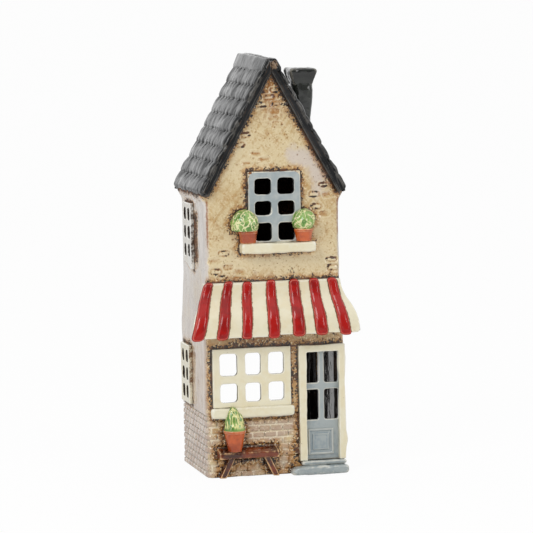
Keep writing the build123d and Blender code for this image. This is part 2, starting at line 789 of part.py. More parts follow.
def door_leaf():
    """Leaf in the doorway: four panes over a solid lower half."""
    width = DOORWAY_WIDTH - 2 * LEAF_GAP
    height = DOORWAY_HEIGHT - LEAF_GAP
    columns = shares_to_spans(width - 2 * LEAF_STILE, LEAF_BAR, even_shares(2))
    glazed = 2 * LEAF_PANE_HEIGHT + LEAF_RAIL
    rows = shares_to_spans(glazed, LEAF_RAIL, even_shares(2))
    panes = Sketch() + pane_field(columns, rows)
    corner = Pos(CASE_X - width / 2 + LEAF_STILE, CASE_Z + height - LEAF_TOP_RAIL - glazed)
    sketch = Pos(CASE_X, CASE_Z + height / 2) * Rectangle(width, height) - corner * panes
    return raised(sketch, leaf_face() + LEAF, LEAF)


def door_panel():
    """Raised field and ring on the lower half of the leaf."""
    place = Pos(CASE_X + PANEL_SHIFT, CASE_Z + PANEL_RISE + PANEL_HEIGHT / 2)
    outside = Rectangle(PANEL_WIDTH, PANEL_HEIGHT)
    inset = 2 * PANEL_RING
    ring = outside - Rectangle(PANEL_WIDTH - inset, PANEL_HEIGHT - inset)
    groove = inset + 2 * PANEL_GROOVE
    field = Rectangle(PANEL_WIDTH - groove, PANEL_HEIGHT - groove)
    base = raised(place * outside, leaf_face(), PANEL_BASE)
    return base + raised(place * (ring + field), leaf_face(), PANEL_PROUD)


# Tealight


def tealight_cup():
    """Pressed metal cup that stands on the floor slab."""
    outside = Pos(0, 0, FLOOR + CUP_HEIGHT / 2) * Cylinder(CUP_RADIUS, CUP_HEIGHT)
    hollow = Pos(0, 0, FLOOR + CUP_WALL + CUP_HEIGHT / 2) * Cylinder(CUP_RADIUS - CUP_WALL, CUP_HEIGHT)
    return outside - hollow


def tab_z():
    return FLOOR + CUP_WALL


def rod(radius, low, top):
    """Upright cylinder on the tealight's axis."""
    return Pos(0, 0, (low + top) / 2) * Cylinder(radius, top - low)


def tealight_wick_tab():
    """Disc and neck that hold the wick upright."""
    disc = rod(TAB_RADIUS, tab_z(), tab_z() + TAB_SHEET)
    neck = rod(TAB_NECK_RADIUS, tab_z(), tab_z() + TAB_NECK)
    return disc + neck - rod(WICK_RADIUS + WICK_GAP, tab_z() + TAB_SHEET, tab_z() + 2 * TAB_NECK)


def tealight_wick():
    return rod(WICK_RADIUS, tab_z() + TAB_SHEET, tab_z() + WAX_HEIGHT + WICK_PROUD)


def tealight_wax():
    """Wax round the tab and the wick."""
    wax = rod(CUP_RADIUS - CUP_WALL - WAX_GAP, tab_z(), tab_z() + WAX_HEIGHT)
    wax -= rod(TAB_RADIUS + WAX_GAP, tab_z(), tab_z() + TAB_SHEET + WAX_GAP)
    wax -= rod(TAB_NECK_RADIUS + WAX_GAP, tab_z(), tab_z() + TAB_NECK + WAX_GAP)
    return wax - rod(WICK_RADIUS + WICK_GAP, tab_z(), tab_z() + 2 * WAX_HEIGHT)


def house_parts():
    """Every piece by name."""
    parts = {
        "floor_slab": floor_slab(),
        "front_wall": front_wall(),
        "back_wall": back_wall(),
        "left_wall": side_wall(LEFT),
        "right_wall": side_wall(RIGHT),
        "left_roof_slab": roof_slab(LEFT),
        "right_roof_slab": roof_slab(RIGHT),
        "left_roof_tiles": roof_tiles(LEFT),
        "right_roof_tiles": roof_tiles(RIGHT),
        "ridge_cap": ridge_cap(),
        "chimney_stack": chimney_stack(),
        "chimney_collar": chimney_collar(),
        "awning_slab": awning_slab(),
        "shop_window_frame": shop_window_frame(),
        "shop_window_sill": shop_window_sill(),
        "upper_window_frame": upper_window_frame(),
        "upper_window_sill": upper_window_sill(),
        "left_upper_window": side_upper_window(LEFT),
        "right_upper_window": side_upper_window(RIGHT),
        "left_lower_window": side_lower_window(LEFT),
        "right_lower_window": side_lower_window(RIGHT),
        "left_sill_pot": sill_pot(LEFT),
        "right_sill_pot": sill_pot(RIGHT),
        "left_sill_bush": sill_bush(LEFT),
        "right_sill_bush": sill_bush(RIGHT),
        "bench_seat": bench_seat(),
        "bench_left_leg": bench_leg(LEFT),
        "bench_right_leg": bench_leg(RIGHT),
        "bench_pot": bench_pot(),
        "bench_cactus": bench_cactus(),
        "doorstep": doorstep(),
        "door_threshold": door_threshold(),
        "door_case": door_case(),
        "door_leaf": door_leaf(),
        "door_panel": door_panel(),
        "tealight_cup": tealight_cup(),
        "tealight_wax": tealight_wax(),
        "tealight_wick": tealight_wick(),
        "tealight_wick_tab": tealight_wick_tab(),
    }
    for pair in range(STRIPE_PAIRS):
        parts[f"awning_red_stripe_{pair + 1}"] = awning_stripe(red_edges, pair, RED_STRIPE)
        parts[f"awning_cream_stripe_{pair + 1}"] = awning_stripe(cream_edges, pair, CREAM_STRIPE)
    return parts


def main():
    os.makedirs("parts", exist_ok=True)
    for name, shape in house_parts().items():
        export_step(shape, f"parts/{name}.step")


if __name__ == "__main__":
    main()
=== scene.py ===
import math
import random

import bpy
import numpy as np
from mathutils import Matrix, Vector, kdtree


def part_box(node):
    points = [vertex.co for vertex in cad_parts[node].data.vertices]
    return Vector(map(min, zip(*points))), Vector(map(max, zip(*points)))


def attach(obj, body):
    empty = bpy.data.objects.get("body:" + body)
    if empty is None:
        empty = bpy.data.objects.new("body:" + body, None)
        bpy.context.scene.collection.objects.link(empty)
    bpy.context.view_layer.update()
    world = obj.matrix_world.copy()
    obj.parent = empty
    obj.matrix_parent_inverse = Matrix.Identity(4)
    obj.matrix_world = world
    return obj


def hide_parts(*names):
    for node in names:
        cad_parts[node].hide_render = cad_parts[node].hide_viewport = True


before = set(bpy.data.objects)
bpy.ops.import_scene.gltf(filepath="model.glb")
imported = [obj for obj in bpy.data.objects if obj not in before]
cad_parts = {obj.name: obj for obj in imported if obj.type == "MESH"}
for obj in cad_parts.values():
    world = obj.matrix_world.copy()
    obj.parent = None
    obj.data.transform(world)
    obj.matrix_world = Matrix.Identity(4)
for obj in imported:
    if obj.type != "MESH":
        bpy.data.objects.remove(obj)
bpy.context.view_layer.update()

# A tall slab-built ceramic shop house: buff glazed walls, charcoal tiled roof, striped awning, potted
# plants and a bench. Lengths are metres; MM turns the millimetres a potter measures into them.
MM = 0.001

# Where the photographer stood.
CAMERA_AZIMUTH = math.radians(-13.915)
CAMERA_ELEVATION = math.radians(5.8)
CAMERA_ROLL = math.radians(-1.034)
CAMERA_DISTANCE = 2026 * MM
CAMERA_PAN_RIGHT, CAMERA_PAN_UP = 4.19 * MM, -2.69 * MM
CAMERA_LENS, CAMERA_SENSOR = 201.35, 36.0
AIM_HEIGHT = 140 * MM

# The shell, read from its slabs.
FRONT_LOW, FRONT_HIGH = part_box("front_wall")
FRONT, BACK = FRONT_LOW.y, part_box("back_wall")[1].y
WALL = FRONT_HIGH.y - FRONT_LOW.y
LOWER_HALF = FRONT_HIGH.x
UPPER_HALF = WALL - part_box("left_wall")[1].x
GABLE_Z = FRONT_HIGH.z
ROOF_PITCH = math.radians(61.3)
EAVE_Z = GABLE_Z - UPPER_HALF * math.tan(ROOF_PITCH)
AWNING_LOW, AWNING_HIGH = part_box("awning_slab")
AWNING_Z, AWNING_TOP = AWNING_LOW.z, AWNING_HIGH.z
FLOOR_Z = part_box("floor_slab")[1].z
CORNER_ROUND = 4.5 * MM
FRAME_LAP, PANE_ROUND = 2.6 * MM, 2.3 * MM
ARCH_HALF, ARCH_SPRING = 30 * MM, 72 * MM
BRICK_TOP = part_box("shop_window_sill")[0].z + 1 * MM

# The roof.
SLAB = 2.8 * MM
ROOF_LOW, ROOF_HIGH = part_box("right_roof_slab")
ROOF_DEPTH = ROOF_HIGH.y - ROOF_LOW.y
EAVE_TIP_X, EAVE_TIP_Z = ROOF_HIGH.x, ROOF_LOW.z + SLAB * math.cos(ROOF_PITCH)
SLOPE_LENGTH = EAVE_TIP_X / math.cos(ROOF_PITCH)
RIDGE_RUN = 10 * MM
COURSES, TILES = 8, 9
TILE_BUTT, TILE_HEAD, TILE_LAP = 2.3 * MM, 1.4 * MM, 1.2 * MM
TILE_GRAIN = 0.5 * MM
STRIP_ROUND, EAVE_ROUND, NOTCH_DEEP = 2.6 * MM, 2.2 * MM, 1.2 * MM
SLAB_LET, SLAB_PROUD, CAP_CUT = 2.2 * MM, 0.4 * MM, 1.6 * MM
# Depths of the pale grey and brown lines along each roof slab's front: glaze seams, and partly painted
# highlights.
SEAM_AND_HIGHLIGHT_DEPTHS = (0.9 * MM, 3.4 * MM)
CAP_THICK, CAP_ROUND, CAP_RISE = 2.5 * MM, 5.8 * MM, 1.5 * MM
EAVE_SWELL = 3.2 * MM

# The awning: an S-shaped sheet with stripes laid on it.
AWNING_SHIFT = (AWNING_LOW.x + AWNING_HIGH.x) / 2
AWNING_LIP, AWNING_REACH, AWNING_THICK = 1.5 * MM, 13.0 * MM, 4.0 * MM
AWNING_TOP_HALF = UPPER_HALF + 1.5 * MM
AWNING_FLARE = (AWNING_HIGH.x - AWNING_LOW.x) / 2 - AWNING_TOP_HALF
RED_THICK, CREAM_THICK, STRIPE_DROP = 2.8 * MM, 1.0 * MM, 1.6 * MM
# Each red bar as the potter laid it, in millimetres: its middle and width at the top, then at the foot.
RED_BARS = ((-45.2, 6.8, -55.7, 9.4), (-31.9, 6.8, -39.4, 9.2), (-19.0, 7.3, -22.5, 8.2),
            (-2.9, 6.9, -4.1, 9.2), (13.0, 7.2, 13.1, 9.6), (26.6, 7.4, 28.9, 9.4), (39.2, 7.2, 45.2, 8.8))
BAR_CORNER, DOME_SHARE = 0.36, 0.42
BAR_ROUND, BAR_DOME, CREAM_ROUND = 2.3 * MM, 0.9 * MM, 2.5 * MM
STRIPE_LET = 0.8 * MM
# Where each bar and its stripe lie while they are still flat.
FLAT_STEP, FLAT_CREAM, FLAT_CREAM_END = 60 * MM, 30 * MM, 44 * MM
# Where the pale line along each red bar's rim lies, how far in and how wide; it is partly a painted
# highlight.
RIM_IN, RIM_WIDE = 1.0 * MM, 0.45 * MM

# Panes of the front's frames, in millimetres of bar and gap by turns, from the left and from below.
SHOP_COLUMNS, SHOP_ROWS = (4.8, 12.0, 5.3, 10.7, 5.3, 10.7), (3.4, 12.6, 5.3, 14.8)
UPPER_COLUMNS, UPPER_ROWS = (4.2, 11.3, 4.7, 11.3), (1.0, 12.0, 5.0, 9.3, 4.7, 10.6)
DOOR_COLUMNS, DOOR_ROWS = (1.8, 9.4, 3.7, 9.8), (27.2, 20.4, 4.6, 20.8)
SIDE_STILE, SIDE_BAR, SIDE_SLUMP = 3.6 * MM, 4 * MM, 4.5 * MM
DOOR_PANE_ROUND, BARE_CORNER = 1.3 * MM, 5 * MM
SIDE_WINDOWS = ("left_upper_window", "left_lower_window", "right_upper_window", "right_lower_window")
BACK_LET = Vector((0, 1 * MM, 0))

# Small pieces.
DOOR_POST, DOOR_LINTEL = 4.6 * MM, 4.8 * MM
CASE_LET = Vector((0.7 * MM, 0, 0))
CASE_BULGE, BULGE_Z, BULGE_TALL = 1.3 * MM, 13 * MM, 6 * MM
STEP_END, STEP_DROP, STEP_DRAW = 5 * MM, 1.4 * MM, 2 * MM
PANEL_STEPS = ((1.3 * MM, 0.7 * MM), (1.9 * MM, -0.8 * MM), (1.0 * MM, 0.25 * MM))
PANEL_GRAIN = 0.25 * MM
SEAT_RISE, SEAT_ROUND, LEG_WIDE = 2.2 * MM, 0.8 * MM, 4.2 * MM
POT_RIM, POT_LIP, POT_WALL = 1.8 * MM, 0.35 * MM, 1.2 * MM
CACTUS_SHOOTS = ((-0.14, 0.8, 1.0), (0.42, 0.54, 0.76), (0.0, 1.0, 0.5))
CACTUS_ROOT = 1 * MM
FLUE, CHIMNEY_ROUND, STACK_FOOT = 6.4 * MM, 4.2 * MM, 0.74
COLLAR_LIP, COLLAR_LET, COLLAR_STEP, COLLAR_ROUND = 3.5 * MM, 4 * MM, 1.4 * MM, 1.5 * MM
CUP_FOOT_IN, CUP_FOOT_ROUND = 0.9 * MM, 0.9 * MM
CUP_ROLL, CUP_LIP, CUP_FLOOR = 0.5 * MM, 0.8 * MM, 0.4 * MM
WAX_RINGS, WAX_DIP = ((1.2 * MM,), (9 * MM, 4 * MM)), 0.5 * MM
WICK_BEND, WICK_GRAIN, BRAID = 1.2 * MM, 0.16 * MM, 0.5 * MM

# Grain of the softened clay: small for sharp little pieces, larger for big slabs.
FINE_GRAIN, MID_GRAIN, ROOF_GRAIN, SLAB_GRAIN = 0.36 * MM, 0.5 * MM, 0.64 * MM, 0.78 * MM
HAND, FINE = 0.5 * MM, 0.12 * MM

# Bricks stamped into the front's plaster: x and z of their middles, in millimetres, and how dark they took.
STAMPED_BRICKS = (
    (3.4, 258.5, 1.0), (-1.3, 253.8, 0.8), (-7.2, 249.1, 1.0), (4.1, 249.6, 0.7), (9.6, 250.3, 1.0),
    (1.9, 244.4, 0.4), (1.4, 240.0, 0.35), (3.8, 235.6, 0.5), (-18.0, 229.3, 0.9), (-21.9, 222.9, 0.9),
    (-11.1, 216.9, 0.2), (-5.2, 212.7, 0.2), (-17.5, 210.6, 0.25), (35.0, 194.5, 1.0), (28.6, 188.3, 0.8),
    (36.9, 188.0, 0.25), (29.8, 180.2, 0.9), (35.2, 175.1, 0.4), (-34.0, 150.9, 0.7), (-40.2, 146.3, 0.3),
    (-31.2, 141.8, 0.5), (-39.6, 138.9, 0.8), (-23.9, 138.4, 0.3), (-35.4, 134.5, 0.9), (-24.8, 133.2, 0.8),
    (39.8, 144.2, 0.9), (40.8, 138.7, 0.8))
BRICK_LONG, BRICK_COURSE, JOINT_WIDE, JOINT_DEEP = 8.2 * MM, 4.3 * MM, 0.75 * MM, 1.1 * MM
STAMP_DEEP, STAMP_RIM, STAMP_CORNER = 0.8 * MM, 0.35 * MM, 1.2 * MM

# Stains in the walls' glaze, in millimetres: strength, x and z of the middle, half width, half height.
LILAC_STAINS = ((1.0, 18, 213, 13, 10), (0.7, 33, 200, 8, 16), (0.5, 8, 26, 14, 9))
AMBER_STAINS = ((0.9, 0, 268, 20, 16), (0.45, 0, 244, 16, 18))
LIGHT_STAINS = ((1.0, 0, 146, 40, 7), (0.5, -28, 215, 14, 14))
DRIP_STAINS = ((1.0, 12, 133, 4, 10),)
SOOT_STAINS = ((1.3, -20, 12, 24, 11), (0.8, -30, 32, 12, 13), (1.0, -5, 93, 60, 5), (0.36, 13, 66, 4, 26),
               (0.3, -46, 68, 3, 26), (1.0, 11, 15, 5, 12))
WALL_SEAM = 1.5 * MM

# Soft lamps: place, size and power.
LAMPS = {"left_box": ((-0.9, -0.9, 1.0), 0.6, 7.0), "right_box": ((0.9, -1.1, 0.6), 0.45, 3.0)}


def only(piece):
    """One piece selected and active, in object mode."""
    active = bpy.context.view_layer.objects.active
    if active and active.mode != "OBJECT":
        bpy.ops.object.mode_set(mode="OBJECT")
    bpy.ops.object.select_all(action="DESELECT")
    piece.select_set(True)
    bpy.context.view_layer.objects.active = piece


def settle(piece, name):
    """A fresh primitive's size and place go into its mesh."""
    piece.name = piece.data.name = name
    only(piece)
    bpy.ops.object.transform_apply(location=True, rotation=True, scale=True)
    return piece


def block(name, low, high):
    """A slab of clay between two corners."""
    low, high = Vector(low), Vector(high)
    bpy.ops.object.select_all(action="DESELECT")
    bpy.ops.mesh.primitive_cube_add(size=1, location=(low + high) / 2, scale=high - low)
    return settle(bpy.context.object, name)


def drum(name, foot, top, radius_foot, radius_top, around=48):
    """A round of clay standing on its foot."""
    bpy.ops.object.select_all(action="DESELECT")
    middle = (Vector(foot) + Vector((foot[0], foot[1], top))) / 2
    bpy.ops.mesh.primitive_cone_add(vertices=around, radius1=radius_foot, radius2=radius_top,
                                    depth=top - foot[2], location=middle)
    return settle(bpy.context.object, name)


def leave_edit():
    """Back to object mode."""
    bpy.ops.object.mode_set(mode="OBJECT")


def pick(piece, kind, wanted):
    """Edit mode with only the wanted faces or edges selected."""
    only(piece)
    bpy.ops.object.mode_set(mode="EDIT")
    bpy.ops.mesh.select_mode(type=kind)
    bpy.ops.mesh.select_all(action="DESELECT")
    leave_edit()
    parts = piece.data.polygons if kind == "FACE" else piece.data.edges
    for part in parts:
        part.select = wanted(part)
    bpy.ops.object.mode_set(mode="EDIT")


def pick_top(piece):
    """Edit mode with the top faces selected."""
    pick(piece, "FACE", lambda face: face.normal.z > 0.9)


def draw_out(x, y, z):
    """Draws the picked faces out by this much."""
    bpy.ops.mesh.extrude_region_move(TRANSFORM_OT_translate={"value": (x, y, z)})


def slice_through(piece, point, normal, drop=False):
    """A wire cut through the piece; drop takes away what lies past it."""
    only(piece)
    bpy.ops.object.mode_set(mode="EDIT")
    bpy.ops.mesh.select_all(action="SELECT")
    bpy.ops.mesh.bisect(plane_co=point, plane_no=normal, use_fill=drop, clear_outer=drop)
    leave_edit()


def round_edges(piece, radius, wanted=lambda edge: True, segments=4):
    """Bevels the wanted edges."""
    pick(piece, "EDGE", wanted)
    bpy.ops.mesh.bevel(offset=radius, segments=segments, affect="EDGES")
    leave_edit()


def running(piece, axis, where=lambda middle: True):
    """Picks the edges that run along an axis and have their middle in the right place."""
    points = [vertex.co.copy() for vertex in piece.data.vertices]

    def wanted(edge):
        start, end = (points[v] for v in edge.vertices)
        run = end - start
        return abs(run[axis]) > 0.97 * run.length and where((start + end) / 2)
    return wanted


def finish_with(piece, kind, **settings):
    """A modifier, set and applied."""
    only(piece)
    modifier = piece.modifiers.new(kind.lower(), kind)
    for key, value in settings.items():
        setattr(modifier, key, value)
    bpy.ops.object.modifier_apply(modifier=modifier.name)


def carve(piece, cutter):
    """Takes the cutter's shape out of the piece."""
    finish_with(piece, "BOOLEAN", operation="DIFFERENCE", solver="EXACT", object=cutter)
    bpy.data.objects.remove(cutter)


def join(pieces, name):
    """Several pieces become one."""
    only(pieces[0])
    for piece in pieces[1:]:
        piece.select_set(True)
    bpy.ops.object.join()
    pieces[0].name = pieces[0].data.name = name
    return pieces[0]


def copy_of(piece, name):
    """Another of the same piece, with its own mesh."""
    twin = piece.copy()
    twin.data = piece.data.copy()
    twin.name = twin.data.name = name
    bpy.context.scene.collection.objects.link(twin)
    return twin


def cloud_texture(name, size):
    """Soft lumps of one size, for modifiers that push clay about."""
    texture = bpy.data.textures.new(name, "CLOUDS")
    texture.noise_scale = size
    return texture


HAND_LUMPS = cloud_texture("hand_lumps", 14 * MM)
FINE_LUMPS = cloud_texture("fine_lumps", 4 * MM)


def push(piece, texture, strength, middle=0.5):
    """Pushes the clay out and in by a texture."""
    finish_with(piece, "DISPLACE", texture=texture, texture_coords="LOCAL", strength=strength,
                mid_level=middle)


def handle(piece, hand, fine):
    """Pushes the clay about a little, as fingers do."""
    for texture, strength in ((HAND_LUMPS, hand), (FINE_LUMPS, fine)):
        if strength:
            push(piece, texture, strength)


def smooth_by(piece, degrees):
    """Smooth shading, sharp where faces meet at more than this."""
    only(piece)
    bpy.ops.object.shade_smooth_by_angle(angle=math.radians(degrees))


def soften(piece, grain, rounds, hand=HAND, fine=FINE):
    """Wet clay: sharp edges worn round, flat faces a little uneven."""
    finish_with(piece, "REMESH", mode="VOXEL", voxel_size=grain)
    finish_with(piece, "SMOOTH", factor=0.5, iterations=rounds)
    handle(piece, hand, fine)
    only(piece)
    bpy.ops.object.shade_smooth()
    return piece


def points_of(piece):
    """A mesh's points and normals as rows."""
    mesh = piece.data
    points = np.empty(len(mesh.vertices) * 3)
    normals = np.empty(len(mesh.vertices) * 3, dtype=np.float32)
    mesh.vertices.foreach_get("co", points)
    mesh.vertex_normals.foreach_get("vector", normals)
    return points.reshape(-1, 3), normals.reshape(-1, 3).astype(float)


def move_points(piece, points):
    """Sets a mesh's points back from rows."""
    piece.data.vertices.foreach_set("co", np.ascontiguousarray(points, dtype=np.float32).ravel())
    piece.data.update()


def mark(piece, name, values):
    """A value for each point, read by the glaze."""
    attribute = piece.data.attributes.get(name) or piece.data.attributes.new(name, "FLOAT", "POINT")
    attribute.data.foreach_set("value", np.ascontiguousarray(values, dtype=np.float32))


def mark_edges(piece, grain, blur=2):
    """Marks worn outer edges, where glaze runs thin and some glazes paint highlights, and inner corners,
    where glaze gathers and the roof glaze paints shade.
    """
    points, normals = points_of(piece)
    count = len(points)
    edges = np.empty(len(piece.data.edges) * 2, dtype=np.int32)
    piece.data.edges.foreach_get("vertices", edges)
    start, end = edges[0::2], edges[1::2]
    share = np.bincount(start, minlength=count) + np.bincount(end, minlength=count)

    def around(values):
        total = np.bincount(start, weights=values[end], minlength=count)
        total += np.bincount(end, weights=values[start], minlength=count)
        return total / np.maximum(share, 1)

    pull = np.stack([around(points[:, axis]) for axis in range(3)], axis=1) - points
    bend = -(pull * normals).sum(axis=1) / grain
    for _ in range(blur):
        bend = (bend + around(bend)) / 2
    mark(piece, "edge", np.clip(bend * 9, 0, 1))
    mark(piece, "nook", np.clip(-bend * 9, 0, 1))


def ease(values, low, high):
    """0 below low, 1 above high, smooth between."""
    share = np.clip((values - low) / (high - low), 0, 1)
    return share * share * (3 - 2 * share)


class Shade:
    """A socket of a glaze that can be added to, multiplied and compared."""

    def __init__(self, nodes, socket):
        self.nodes, self.socket = nodes, socket

    def maths(self, operation, first, second=0.0):
        return self.nodes.node("ShaderNodeMath", {"operation": operation}, {0: first, 1: second})

    def __add__(self, other):
        return self.maths("ADD", self, other)

    def __sub__(self, other):
        return self.maths("SUBTRACT", self, other)

    def __rsub__(self, other):
        return self.maths("SUBTRACT", other, self)

    def __mul__(self, other):
        return self.maths("MULTIPLY", self, other)

    __radd__, __rmul__ = __add__, __mul__

    def __abs__(self):
        return self.maths("ABSOLUTE", self)

    def most(self, other):
        return self.maths("MAXIMUM", self, other)

    def sway(self, much):
        """A noise as pushes up and down from its middle."""
        return (self - 0.5) * much


class Nodes:
    """A node tree, filled by one method."""

    def __init__(self, tree):
        self.tree = tree
        tree.nodes.clear()

    def node(self, kind, settings, sockets, output=0):
        node = self.tree.nodes.new(kind)
        for key, value in settings.items():
            setattr(node, key, value)
        for key, value in sockets.items():
            if isinstance(value, Shade):
                self.tree.links.new(value.socket, node.inputs[key])
            else:
                node.inputs[key].default_value = value
        return Shade(self, node.outputs[output] if node.outputs else None)

    def ease(self, value, low, high, start=0.0, end=1.0):
        return self.node("ShaderNodeMapRange", {"interpolation_type": "SMOOTHSTEP"},
                         {"Value": value, "From Min": low, "From Max": high, "To Min": start, "To Max": end})


class Glaze(Nodes):
    """A glaze's material and slot, built up in washes of colour."""

    def __init__(self, name, slot=None):
        self.material = bpy.data.materials.new(name)
        self.slot = slot or name
        self.material.use_nodes = True
        super().__init__(self.material.node_tree)
        self.spot = self.node("ShaderNodeTexCoord", {}, {}, "Object")
        self.colour = None

    def marks(self, names):
        """The values that the mesh is marked with."""
        return [self.node("ShaderNodeAttribute", {"attribute_name": name}, {}, "Fac")
                for name in names.split()]

    def along(self, axis):
        return self.node("ShaderNodeSeparateXYZ", {}, {0: self.spot}, axis)

    def stretched(self, x, y, z):
        return self.node("ShaderNodeVectorMath", {"operation": "MULTIPLY"}, {0: self.spot, 1: (x, y, z)})

    def slanted(self, turn, stretch):
        """The front turned in its own plane and drawn out along its new upright."""
        return self.node("ShaderNodeMapping", {"vector_type": "TEXTURE"},
                         {"Vector": self.spot, "Rotation": (0, turn, 0), "Scale": (1, 1, stretch)})

    def noise(self, size, detail, seed, spot=None):
        """Cloudy noise whose lumps are about size across."""
        return self.node("ShaderNodeTexNoise", {"noise_dimensions": "4D"},
                         {"Vector": spot or self.spot, "W": seed, "Scale": 0.5 / size, "Detail": detail})

    def mix(self, share, first, second):
        """From one colour to another, each a socket or the three parts of a tone."""
        colours = [part if isinstance(part, Shade) else tone(*part) for part in (first, second)]
        return self.node("ShaderNodeMix", {"data_type": "RGBA"}, {0: share, 6: colours[0], 7: colours[1]}, 2)

    def blend(self, value, low, high, first, second):
        """The first colour where the value is under low, the second where it is over high."""
        return self.mix(self.ease(value, low, high), first, second)

    def wash(self, tint, share):
        """A tint over the colour so far."""
        self.colour = self.mix(share, self.colour, tint)

    def bump(self, height, depth):
        return self.node("ShaderNodeBump", {}, {"Height": height, "Distance": depth, "Strength": 1.0})

    def fire(self, **sockets):
        """The finished surface with its slot; names use underscores for spaces."""
        surface = self.node("ShaderNodeBsdfPrincipled", {}, {"Base Color": self.colour} | {
            key.replace("_", " "): value for key, value in sockets.items()})
        self.node("ShaderNodeOutputMaterial", {}, {"Surface": surface})
        return self.material, self.slot


def tone(red, green, blue):
    """A colour as it is seen, each part 0 to 255."""
    def linear(part):
        part /= 255
        return part / 12.92 if part <= 0.04045 else ((part + 0.055) / 1.055) ** 2.4
    return linear(red), linear(green), linear(blue), 1.0


GLOSSY = {"Coat_Weight": 0.5, "Coat_Roughness": 0.05}


def wall_glaze():
    """Buff glaze with lilac clouds, amber stains and a dark speckled crust where it gathered; painted sheen
    on the side walls, painted glints on the bricks and a painted shadow line under the sills.
    """
    g = Glaze("wall_glaze")
    pool, soot, joint, brick, inside, lilac, amber, stamp, sunk, rim, drip, light = g.marks(
        "pool soot joint brick inside lilac amber stamp sunk rim drip light")
    drift, cloud = g.noise(34 * MM, 3, 1), g.noise(15 * MM, 4, 2)
    patch, grain, speck = g.noise(6 * MM, 3, 5), g.noise(2.0 * MM, 3, 3), g.noise(0.55 * MM, 2, 4)
    blot, fleck = g.noise(1.1 * MM, 2, 7), g.noise(0.6 * MM, 1, 8)
    runs = g.noise(0.8 * MM, 2, 6, g.stretched(1.0, 1.0, 0.4))
    streaks = g.noise(2.2 * MM, 3, 9, g.stretched(1.0, 1.0, 0.06))
    g.colour = g.blend(drift + light, 0.4, 0.62, (205, 182, 138), (214, 195, 154))
    g.wash((188, 152, 96), g.ease(cloud - light * 0.6 + grain.sway(0.4), 0.48, 0.68) * 0.45)
    g.wash((174, 134, 78), g.ease(grain + speck.sway(0.6), 0.51, 0.68) * 0.5)
    g.wash((184, 144, 84), g.ease(speck, 0.5, 0.68) * 0.4)
    for seed, slant in ((11, 0.7), (12, -0.6)):
        strokes = g.noise(1.1 * MM, 2, seed, g.slanted(slant, 6))
        g.wash((182, 142, 82), g.ease(strokes + cloud.sway(0.6) - light * 0.2, 0.53, 0.66) * 0.45)
    g.wash((230, 214, 176), g.ease(fleck, 0.5, 0.64) * 0.35)
    g.wash((222, 206, 170), light * 0.75)
    clouded = lilac + cloud.sway(1.4) + patch.sway(1.6) + grain.sway(0.6)
    g.wash((209, 197, 186), g.ease(clouded, 0.3, 0.85) * 0.85)
    # the side walls are paler, in drawn-out streaks and whiter higher up: glaze, and partly a painted sheen
    normal = g.node("ShaderNodeNewGeometry", {}, {}, "Normal")
    side = g.ease(abs(g.node("ShaderNodeSeparateXYZ", {}, {0: normal}, 0)), 0.45, 0.85)
    high = g.ease(g.along(2), 60 * MM, 125 * MM)
    pale = g.blend(streaks * 0.5 + patch * 0.5, 0.4, 0.62, g.mix(high, (212, 196, 180), (226, 219, 212)),
                   g.mix(high, (188, 167, 148), (209, 199, 190)))
    g.wash(pale, side * g.ease(drift + patch.sway(0.5), 0.1, 0.5))
    g.wash((146, 86, 32), g.ease(amber + cloud.sway(0.9) + blot.sway(0.9), 0.3, 0.9) * 0.9)
    # bricks: faces a little greyer, joints pale in places and brown in others
    g.wash((181, 156, 138), brick * g.ease(patch, 0.34, 0.56) * 0.8)
    mortar = g.blend(pool + soot * 0.5 + patch.sway(1.4), 0.4, 0.7, (235, 222, 194), (60, 38, 24))
    mortar = g.mix(side * 0.85, mortar, (112, 96, 84))
    g.wash(mortar, g.ease(joint + speck.sway(0.8), 0.22, 0.6) * 0.95)
    # stamped bricks: pale rims, brown fields, dark pits
    g.wash((230, 215, 178), g.ease(rim + grain.sway(1.0) + speck.sway(0.6), 0.3, 0.8) * 0.75)
    g.wash((164, 110, 48), g.ease(sunk + grain.sway(0.8) + speck.sway(0.6), 0.25, 0.8) * 0.75)
    pressed = g.ease(stamp + blot.sway(0.9) + speck.sway(0.8), 0.36, 0.54)
    # glaze gathers against the applied pieces and runs down below them; the solid dark line along them is
    # partly painted shadow
    halo = g.ease(pool + soot * 0.5 + grain.sway(0.9) + patch.sway(0.7), 0.15, 0.85)
    g.wash(g.blend(cloud, 0.45, 0.6, (182, 128, 58), (156, 100, 42)), halo * 0.8)
    crust = g.ease(pool + soot * 0.24 + blot.sway(0.8 + soot * 1.3) + speck.sway(2.0) + patch.sway(0.8),
                   0.68, 0.8)
    trails = g.ease(runs + speck.sway(0.9), 0.58, 0.66) * g.ease(drip + grain.sway(0.8), 0.35, 0.75)
    # a solid dark line where the wall meets the applied pieces: gathered glaze, and under the sills a painted
    # shadow
    contact_line_and_shadow = g.ease(pool + grain.sway(0.3), 0.8, 0.94)
    crust = crust.most(trails * 0.8).most(contact_line_and_shadow * 0.9).most(pressed)
    g.wash(g.blend(grain, 0.45, 0.62, (38, 23, 14), (100, 60, 28)), crust)
    # pale and brown specks; the pale specks on the bricks are painted glints
    g.wash((236, 224, 197), g.ease(fleck, 0.6, 0.66) * brick * 0.5)
    by_crust = g.ease(pool, 0.95, 0.6) * g.ease(pool + soot * 0.3, 0.15, 0.4)
    g.wash((226, 204, 160), g.ease(fleck, 0.58, 0.64) * by_crust * 0.85)
    g.wash((120, 80, 42), g.ease(speck, 0.62, 0.7) * g.ease(patch, 0.4, 0.55) * 0.75)
    g.wash(g.blend(cloud, 0.45, 0.7, (26, 16, 11), (70, 42, 22)), inside)
    height = patch * 1.6 + grain * 0.6 + speck * 0.2 + crust * 0.5
    dull = side * crust.most(joint * 0.8)
    return g.fire(Roughness=0.14 + crust * 0.15 + dull * 0.5 + grain.sway(0.08), Coat_Weight=0.5 - dull * 0.5,
                  Coat_Roughness=0.05, Normal=g.bump(height, 0.16 * MM))


